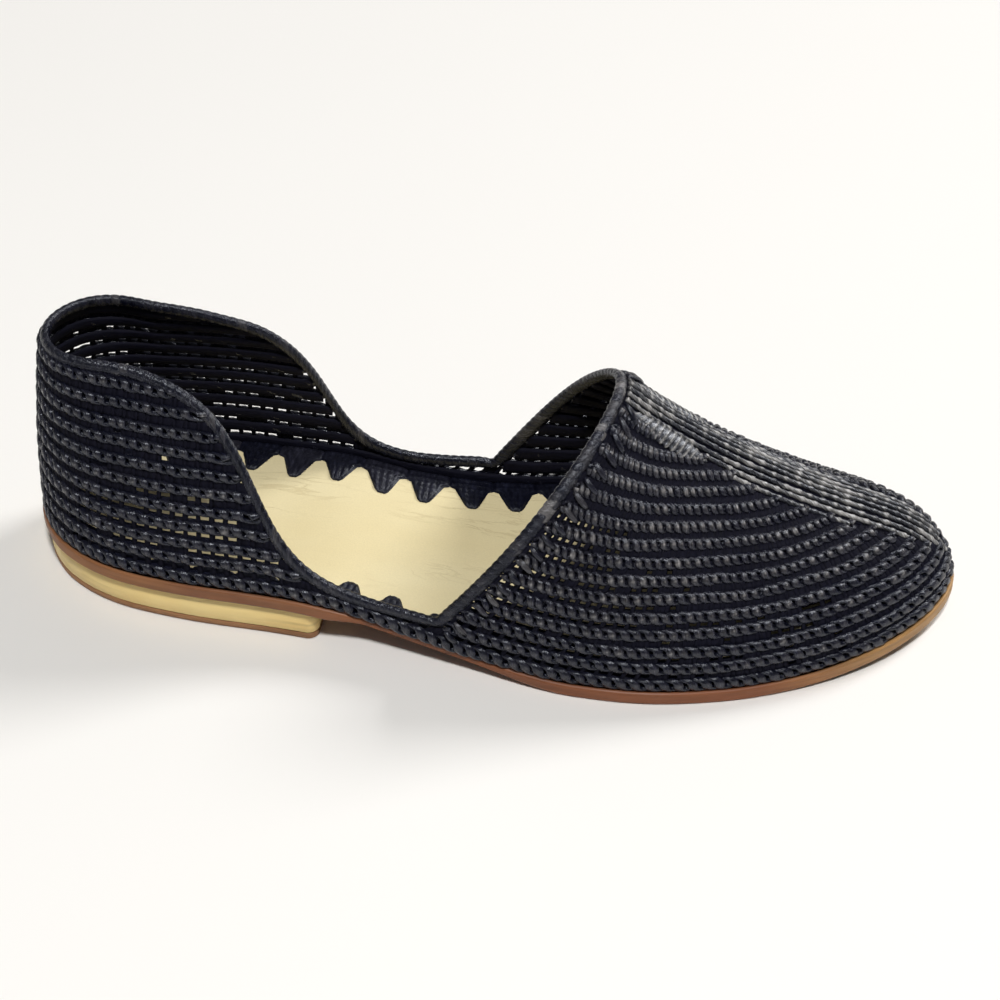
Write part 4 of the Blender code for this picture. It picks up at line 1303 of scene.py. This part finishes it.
def woven_points(material):
    """Blunt woven points along the insole's edge, joined by a narrow band."""
    inset = FEATHER_INSET + WALL
    turn = np.linspace(0, 2 * math.pi, POINT_RUN_POINTS)
    run = run_length(outline(turn, inset))
    count = int(round(run[-1] / POINT_PITCH))
    pitch = run[-1] / count
    across = np.linspace(-1, 1, POINT_ACROSS)
    depth = np.linspace(0, 1, POINT_ALONG)
    faces = slab_faces(len(depth), len(across))
    lengthwise, crosswise, apart = POINT_FIBRE
    bundle = Bundle()
    for i in range(count):
        middle = (i + 0.5) * pitch
        medial = ease(outline(np.interp(middle, run, turn), inset)[1], -POINT_SIDE_Y, POINT_SIDE_Y)
        deep, half, taper = point_outline(medial, pitch, depth)
        lean = RANDOM.normal(0, POINT_LEAN) * taper[:, None]
        wide = across[None] * half[:, None]
        at = np.interp(middle + lean + wide, run, turn)
        plan = outline(at, np.broadcast_to(inset + deep[:, None], at.shape))
        floor = feather(plan[..., 0]) + INSOLE_THICK + SEAT_GAP * POINT_SEAT
        top = floor + point_relief(deep, wide, across, depth)
        points = [raised(plan, z).reshape(-1, 3) for z in (top, floor)]
        fibre = np.broadcast_arrays(deep[:, None] * lengthwise, across * crosswise, i * apart)
        fibre = np.stack(fibre, -1).reshape(-1, 3)
        tint = RANDOM.uniform(*POINT_TINTS)
        bundle.add(np.concatenate(points), np.concatenate([fibre, fibre]), tint, faces)
    bundle.object("woven_points", material, "raffia", "edge_points")


def plate(name, inset, profile, material, slot, node, lift=None):
    """A plate under the foot: profile rows are (inset, height), functions of x, from bottom to top."""
    turns = np.linspace(0, 2 * math.pi, 2 * PLATE_POINTS, endpoint=False)
    places = LENGTH / 2 * (1 - np.cos(turns))
    rings = []
    for extra, height in profile:
        plan = outline(turns, inset + extra(places))
        rings.append(raised(plan, height(plan[:, 0])))
    points = [np.concatenate(rings)]
    quads = [grid_faces(len(rings), len(turns), round_cols=True)]
    cover = grid_faces(PLATE_POINTS + 1, PLATE_ACROSS)
    t = np.linspace(0, 1, PLATE_ACROSS)[None, :, None]
    used = len(rings) * len(turns)
    for ring, is_top in ((rings[0], False), (rings[-1], True)):
        lateral = ring[: PLATE_POINTS + 1]
        medial = np.concatenate([ring[:1], ring[: PLATE_POINTS - 1 : -1]])
        grid = lateral[:, None] * (1 - t) + medial[:, None] * t
        if lift and is_top:
            grid[..., 2] += lift(grid[..., 0], grid[..., 1]) * np.sin(t[..., 0] * math.pi) ** 0.5
        points.append(grid.reshape(-1, 3))
        quads.append((cover if is_top else cover[:, ::-1]) + used)
        used += grid.size // 3
    add_mesh(name, *weld(np.concatenate(points), np.concatenate(quads)), material, slot, [node])


def weld(points, quads):
    """Points at the same place made one, with the quads that stay whole and the triangles others become."""
    _, first, place = np.unique(np.round(points, 4), axis=0, return_index=True, return_inverse=True)
    quads = place.reshape(-1)[quads]
    same = quads == np.roll(quads, -1, axis=1)
    twins = same.sum(1)
    doubled = same[twins == 1].argmax(1)
    triangles = quads[twins == 1][np.arange(4) != doubled[:, None]].reshape(-1, 3)
    return points[first], [quads[twins == 0], triangles]


def heel_ring(inset):
    """Plan of the heel block: the outsole's back with a straight breast and small round corners."""
    last = turn_of(HEEL_BREAST_X - HEEL_CORNER)
    turns = np.linspace(-last, last, HEEL_POINTS) % (2 * math.pi)
    ring = outline(turns, np.full(HEEL_POINTS, HEEL_INSET + inset))
    angle = np.linspace(0, math.pi / 2, HEEL_CORNER_POINTS)[1:]
    radius = HEEL_CORNER - inset
    medial = ring[0] + np.stack([radius * np.sin(angle), radius * (np.cos(angle) - 1)], -1)
    lateral = ring[-1] + np.stack([radius * np.sin(angle), radius * (1 - np.cos(angle))], -1)
    return np.concatenate([medial[::-1], ring, lateral])


def block(name, profile, material, slot, node):
    """A block under the heel: profile rows are (inset, height function), from bottom to top."""
    rings = []
    for inset, height in profile:
        ring = heel_ring(inset)
        rings.append(raised(ring, height(ring[:, 0])))
    size = len(rings[0])
    half = np.arange(size // 2)
    back = size - 1 - half
    top = (len(rings) - 1) * size
    quads = [
        grid_faces(len(rings), size, round_cols=True),
        np.stack([back, back - 1, half + 1, half], -1),
        top + np.stack([half, half + 1, back - 1, back], -1),
    ]
    add_mesh(name, *weld(np.concatenate(rings), np.concatenate(quads)), material, slot, [node])


class Look:
    """A material in the making: its node tree and its main shader."""

    def __init__(self, name):
        self.material = bpy.data.materials.new(name)
        self.material.use_nodes = True
        self.tree = self.material.node_tree
        self.shader = self.tree.nodes["Principled BSDF"]

    def node(self, kind, inputs=None, **settings):
        made = self.tree.nodes.new(kind)
        for key, value in settings.items():
            setattr(made, key, value)
        self.join(made, inputs or {})
        return made

    def join(self, made, inputs):
        for key, value in inputs.items():
            if isinstance(value, bpy.types.NodeSocket):
                self.tree.links.new(value, made.inputs[key])
            else:
                made.inputs[key].default_value = value

    def ramp(self, factor, stops):
        """Colours, or greys given as one number, that change along a factor."""
        made = self.node("ShaderNodeValToRGB", {"Fac": factor})
        points = made.color_ramp.elements
        while len(points) < len(stops):
            points.new(0.5)
        for point, (place, colour) in zip(points, stops):
            point.position = place
            point.color = (*np.broadcast_to(colour, 3), 1.0)
        return made.outputs["Color"]

    def noise(self, vector, scale, detail=4.0, roughness=0.55):
        inputs = {"Vector": vector, "Scale": scale, "Detail": detail, "Roughness": roughness}
        return self.node("ShaderNodeTexNoise", inputs).outputs["Fac"]

    def value(self, name, output):
        """A value that the mesh keeps for each of its points."""
        return self.node("ShaderNodeAttribute", attribute_name=name).outputs[output]

    def place(self, scale):
        """Coordinates of the object, stretched."""
        source = self.node("ShaderNodeTexCoord").outputs["Object"]
        return self.node("ShaderNodeMapping", {"Vector": source, "Scale": scale}).outputs["Vector"]

    def mix(self, factor, first, second, blend="MIX"):
        made = self.node("ShaderNodeMix", data_type="RGBA", blend_type=blend)
        self.join(made, {0: factor, 6: first, 7: second})
        return made.outputs[2]

    def math(self, operation, first, second):
        made = self.node("ShaderNodeMath", operation=operation)
        self.join(made, {0: first, 1: second})
        return made.outputs[0]

    def bump(self, height, strength, distance):
        inputs = {"Height": height, "Strength": strength, "Distance": distance}
        return self.node("ShaderNodeBump", inputs).outputs["Normal"]

    def finish(self, **inputs):
        self.join(self.shader, {key.replace("_", " "): value for key, value in inputs.items()})
        return self.material


RAFFIA_GLINT = (0.86, 0.91, 1.0, 1.0)
# Navy dye of the raffia by tint; its palest stops are reached mostly through the painted highlights on bead
# crests and on the rolled edge near the throat
NAVY_SHADES = (
    (0.0, (0.0030, 0.0033, 0.0080)),
    (0.4, (0.0050, 0.0056, 0.0135)),
    (0.65, (0.0165, 0.0162, 0.0250)),
    (0.85, (0.0450, 0.0430, 0.0480)),
    (1.0, (0.2100, 0.2000, 0.2000)),
)
# Paler shades of the same raffia for the leaf's ribs and pads: painted sheen, palest at the painted
# highlights
LEAF_SHEEN_SHADES = (
    (0.0, (0.0050, 0.0052, 0.0100)),
    (0.5, (0.0150, 0.0155, 0.0220)),
    (0.75, (0.0600, 0.0590, 0.0610)),
    (1.0, (0.3200, 0.3100, 0.3000)),
)


def raffia_look(name, shades, shine, least_rough, most_rough):
    """Dyed raffia with fine fibres along each strand; its shades also carry the painted highlights on bead
    crests and, for the leaf, painted sheen.
    """
    look = Look(name)
    streak = look.noise(look.value("fibre", "Vector"), 1.0, 5.0, 0.6)
    base = look.ramp(look.value("tint", "Fac"), shades)
    streaks = look.ramp(streak, [(0.3, 0.4), (0.55, 1.0), (0.75, 2.2)])
    return look.finish(
        Base_Color=look.mix(1.0, base, streaks, "MULTIPLY"),
        Roughness=look.ramp(streak, [(0.3, least_rough), (0.7, most_rough)]),
        Normal=look.bump(streak, 0.55, 0.0004),
        Specular_IOR_Level=shine,
        Specular_Tint=RAFFIA_GLINT,
    )


def furrow_shade_look():
    """The same raffia made darker and hardly shiny: painted shade for the strands deep in the furrows and
    behind the rows and ribs.
    """
    look = Look("raffia_furrows_painted_shade")
    streak = look.noise(look.value("fibre", "Vector"), 1.0, 5.0, 0.6)
    return look.finish(
        Base_Color=look.ramp(streak, [(0.3, (0.0024, 0.0025, 0.0062)), (0.7, (0.0075, 0.0075, 0.0170))]),
        Roughness=look.ramp(streak, [(0.3, 0.6), (0.7, 0.8)]),
        Normal=look.bump(streak, 0.5, 0.0004),
        Specular_IOR_Level=0.1,
    )


def insole_look():
    """Pale natural leather with fine lengthwise wrinkles and faint blotches."""
    look = Look("insole_leather")
    blotch = look.noise(look.place((16, 26, 16)), 1.0, 3.0)
    pores = look.noise(look.place((1, 1, 1)), 2400.0, 2.0)
    warp = look.noise(look.place((26, 26, 26)), 1.0, 2.0)
    bent = look.node("ShaderNodeVectorMath", operation="ADD")
    look.join(bent, {0: look.place((12, 80, 12)), 1: warp})
    lines = look.noise(bent.outputs[0], 1.6, 4.0, 0.6)
    valley = look.math("ABSOLUTE", look.math("SUBTRACT", lines, 0.5), 0.0)
    patches = look.ramp(look.noise(look.place((30, 55, 30)), 1.0, 2.0), [(0.45, 0.0), (0.6, 1.0)])
    wrinkle = look.math("MULTIPLY", look.ramp(valley, [(0.004, 1.0), (0.018, 0.0)]), patches)
    shades = [(0.3, (0.74, 0.63, 0.36)), (0.6, (0.81, 0.71, 0.44)), (0.8, (0.84, 0.75, 0.50))]
    base = look.ramp(blotch, shades)
    grain = look.ramp(pores, [(0.3, 0.93), (0.7, 1.0)])
    toned = look.mix(1.0, base, grain, "MULTIPLY")
    colour = look.mix(look.math("MULTIPLY", wrinkle, 0.28), toned, (0.46, 0.35, 0.17, 1.0))
    height = look.math("SUBTRACT", look.math("MULTIPLY", pores, 0.25), wrinkle)
    normal = look.bump(height, 0.35, 0.0004)
    rough = look.ramp(blotch, [(0.3, 0.62), (0.7, 0.5)])
    return look.finish(Base_Color=colour, Roughness=rough, Normal=normal, Specular_IOR_Level=0.35)


def sole_look():
    """Leather sole: reddish-brown edge with fine layers, paler towards the toe, with painted shade
    darkening it along the waist.
    """
    look = Look("sole_leather_edge")
    layers = look.noise(look.place((40, 40, 900)), 1.0, 4.0)
    patch = look.noise(look.place((45, 45, 45)), 1.0, 4.0)
    source = look.node("ShaderNodeTexCoord").outputs["Object"]
    x = look.node("ShaderNodeSeparateXYZ", {"Vector": source}).outputs["X"]
    toe = look.node("ShaderNodeMapRange", {"Value": x, "From Min": 0.02, "From Max": 0.125})
    brown = look.ramp(patch, [(0.3, (0.22, 0.078, 0.028)), (0.7, (0.32, 0.135, 0.050))])
    tan = look.ramp(patch, [(0.3, (0.34, 0.18, 0.058)), (0.7, (0.48, 0.27, 0.090))])
    heel_to_toe = look.mix(toe.outputs["Result"], brown, tan)
    length = look.node("ShaderNodeMapRange", {"Value": x, "From Min": -0.125, "From Max": 0.125})
    # Darker edge along the waist: painted shade under the overhanging upper
    middle = look.ramp(length.outputs["Result"], [(0.30, 0.0), (0.40, 1.0), (0.80, 1.0), (0.92, 0.0)])
    base = look.mix(middle, heel_to_toe, (0.235, 0.076, 0.026, 1.0))
    shade = look.ramp(layers, [(0.35, 0.72), (0.6, 1.0)])
    colour = look.mix(1.0, base, shade, "MULTIPLY")
    normal = look.bump(layers, 0.3, 0.0003)
    rough = look.ramp(patch, [(0.3, 0.42), (0.7, 0.6)])
    return look.finish(Base_Color=colour, Roughness=rough, Normal=normal)


def wood_look():
    """Pale stacked heel with fine grain along its length."""
    look = Look("heel_wood")
    grain = look.noise(look.place((14, 60, 420)), 1.0, 5.0, 0.6)
    patch = look.noise(look.place((30, 30, 60)), 1.0, 3.0)
    base = look.ramp(patch, [(0.3, (0.90, 0.66, 0.26)), (0.7, (0.97, 0.77, 0.35))])
    shade = look.ramp(grain, [(0.32, 0.76), (0.5, 0.97), (0.7, 1.0)])
    colour = look.mix(1.0, base, shade, "MULTIPLY")
    normal = look.bump(grain, 0.25, 0.0003)
    rough = look.ramp(grain, [(0.3, 0.6), (0.7, 0.48)])
    return look.finish(Base_Color=colour, Roughness=rough, Normal=normal)


def lift_look():
    """Brown leather top lift with soft blotches."""
    look = Look("lift_leather")
    patch = look.noise(look.place((60, 60, 300)), 1.0, 4.0)
    colour = look.ramp(patch, [(0.3, (0.22, 0.10, 0.04)), (0.7, (0.36, 0.18, 0.08))])
    normal = look.bump(patch, 0.3, 0.0003)
    rough = look.ramp(patch, [(0.3, 0.5), (0.7, 0.65)])
    return look.finish(Base_Color=colour, Roughness=rough, Normal=normal)


def floor_look():
    look = Look("pale_floor")
    patch = look.noise(look.place((3, 3, 3)), 1.0, 2.0)
    colour = look.ramp(patch, [(0.3, (0.86, 0.85, 0.83)), (0.7, (0.87, 0.86, 0.84))])
    return look.finish(Base_Color=colour, Roughness=0.9, Specular_IOR_Level=0.1)


def offset(height, amount):
    """A height function moved up or down."""
    return lambda x: height(x) + amount


def fixed(value):
    """A function of x that is the same everywhere."""
    return lambda x: np.full(len(x), value)


def waist(x):
    """How far a place belongs to the waist, from 0 to 1."""
    return ease(x, NIP_START_X, NIP_FULL_X) * (1 - ease(x, NIP_FADE_X, NIP_END_X))


def sole_inset(inset, bevel):
    """Inset of the sole's edge, drawn in at the waist by the nip and a share of the bevel."""
    return lambda x: inset + (WAIST_NIP + WAIST_BEVEL * bevel) * waist(x)


def sole_height(height, rise):
    """Height over the sole's bottom, raised at the waist by a share of the bevel."""
    return lambda x: sole_bottom(x) + height + WAIST_BEVEL_RISE * rise * waist(x)


def insole_wave(x, y):
    """Low soft waves of a worn-in leather sheet."""
    waves = WAVE_HIGH * np.sin(x * 0.11 + y * 0.05) * np.cos(y * 0.16)
    return waves + RIPPLE_HIGH * np.sin(y * 0.6 + x * 0.05)


def dress_bottom():
    """Outsole, heel, lift and insole with rounded edges."""
    # Inset, share of the bevel's inset, height, share of the bevel's rise
    sole_rows = (
        (0.9, 1.0, 0.0, 0.0),
        (0.35, 0.8, 0.12, 0.35),
        (0.08, 0.4, 0.4, 0.75),
        (0.0, 0.0, 0.8, 1.0),
        (0.12, 0.0, SOLE_THICK / 2, 0.4),
        (0.0, 0.0, SOLE_THICK - 0.8, 0.0),
        (0.08, 0.0, SOLE_THICK - 0.4, 0.0),
        (0.35, 0.0, SOLE_THICK - 0.12, 0.0),
        (0.9, 0.0, SOLE_THICK, 0.0),
    )
    sole_profile = [
        (sole_inset(inset, bevel), sole_height(high, rise)) for inset, bevel, high, rise in sole_rows
    ]
    plate("leather_outsole", 0.0, sole_profile, sole_look(), "sole_leather", "outsole")
    inset = FEATHER_INSET + WALL + 2 * SEAT_GAP
    insole_profile = (
        (fixed(0.0), feather),
        (fixed(0.0), offset(feather, INSOLE_THICK - 0.5)),
        (fixed(0.15), offset(feather, INSOLE_THICK - 0.15)),
        (fixed(0.5), offset(feather, INSOLE_THICK)),
    )
    plate("leather_insole", inset, insole_profile, insole_look(), "pale_leather", "insole", insole_wave)
    heel_top = offset(sole_bottom, -SEAT_GAP)
    block_base = LIFT_THICK + SEAT_GAP * LIFT_SEAT
    heel_profile = (
        (0.25, fixed(block_base)),
        (0.0, fixed(block_base + 0.25)),
        (0.0, offset(heel_top, -0.25)),
        (0.25, heel_top),
    )
    block("wooden_heel", heel_profile, wood_look(), "pale_wood", "heel_block")
    lift_profile = (
        (0.4, fixed(0.0)),
        (0.0, fixed(0.4)),
        (0.0, fixed(LIFT_THICK - 0.2)),
        (0.2, fixed(LIFT_THICK)),
    )
    block("leather_lift", lift_profile, lift_look(), "lift_brown", "top_lift")


# Camera where the photograph was taken from, mm and pixels of a frame 1000 wide
CAMERA_PLACE = (71.6, -498.0, 441.1)
CAMERA_VIEW = (-0.08476, 0.78624, -0.61208)
CAMERA_FOCUS = 3467.7
CAMERA_AIM = (421.0, 602.0)
CAMERA_WIDTH = 1420.0
CAMERA_ROLL = -0.33
CAMERA_NEAR = 0.01
FRAME_MIDDLE = 500
SENSOR = 36.0


def add_camera():
    view = Vector(CAMERA_VIEW).normalized()
    right = view.cross(Vector((0, 0, 1))).normalized()
    up = right.cross(view)
    aim_right = (CAMERA_AIM[0] - FRAME_MIDDLE) / CAMERA_FOCUS
    aim_up = -(CAMERA_AIM[1] - FRAME_MIDDLE) / CAMERA_FOCUS
    aim = (view + right * aim_right + up * aim_up).normalized()
    turn = aim.to_track_quat("-Z", "Y").to_matrix() @ Matrix.Rotation(math.radians(CAMERA_ROLL), 3, "Z")
    data = bpy.data.cameras.new("camera")
    data.sensor_width = SENSOR
    data.lens = SENSOR * CAMERA_FOCUS / CAMERA_WIDTH
    data.clip_start = CAMERA_NEAR
    camera = add_object("camera", data)
    camera.matrix_world = Matrix.Translation(Vector(CAMERA_PLACE) * MM) @ turn.to_4x4()
    bpy.context.scene.camera = camera


# Studio lights: place in m, size in m, power in W, colour
LIGHTS = (
    ("name", "place", "size", "power", "colour"),
    ("front", (0.22, -0.98, 2.10), 0.32, 39.0, (1.0, 0.99, 0.975)),
    ("back_right", (1.60, 1.40, 1.70), 1.00, 46.0, (1.0, 0.985, 0.965)),
    ("back", (-0.80, 2.60, 1.80), 2.20, 3.0, (1.0, 0.985, 0.965)),
)
WORLD_COLOUR = (1.0, 0.985, 0.96, 1.0)
WORLD_STRENGTH = 0.12
FLOOR_REACH = 4.0


def add_lights():
    for name, place, size, power, colour in LIGHTS[1:]:
        data = bpy.data.lights.new(name, "AREA")
        data.shape = "DISK"
        data.size = size
        data.energy = power
        data.color = colour
        light = add_object(name, data)
        light.location = place
        light.rotation_euler = (-Vector(place)).to_track_quat("-Z", "Y").to_euler()
    world = bpy.data.worlds.new("studio")
    world.use_nodes = True
    background = world.node_tree.nodes["Background"]
    background.inputs["Color"].default_value = WORLD_COLOUR
    background.inputs["Strength"].default_value = WORLD_STRENGTH
    bpy.context.scene.world = world
    bpy.context.scene.view_settings.view_transform = "Standard"


def add_floor():
    mesh = bpy.data.meshes.new("floor")
    far = FLOOR_REACH
    mesh.from_pydata([(-far, -far, 0), (far, -far, 0), (far, far, 0), (-far, far, 0)], [], [(0, 1, 2, 3)])
    mesh.materials.append(floor_look())
    add_object("floor", mesh)


def main():
    add_camera()
    add_lights()
    add_floor()
    raffia = raffia_look("raffia_strands", NAVY_SHADES, shine=0.5, least_rough=0.17, most_rough=0.3)
    # The leaf's strands: the same raffia in paler shades, as painted sheen
    pale = raffia_look("leaf_strands_painted_sheen", LEAF_SHEEN_SHADES, shine=1.0, least_rough=0.2, most_rough=0.36)
    leaf = Leaf()
    wall = Wall(leaf)
    furrow_shade = furrow_shade_look()
    weave_upper(wall, raffia, furrow_shade)
    weave_leaf(leaf, pale, furrow_shade)
    roll_binding(wall, raffia)
    whip_stitches(wall, raffia)
    woven_points(raffia_look("point_strands", NAVY_SHADES, shine=0.35, least_rough=0.28, most_rough=0.5))
    dress_bottom()


main()
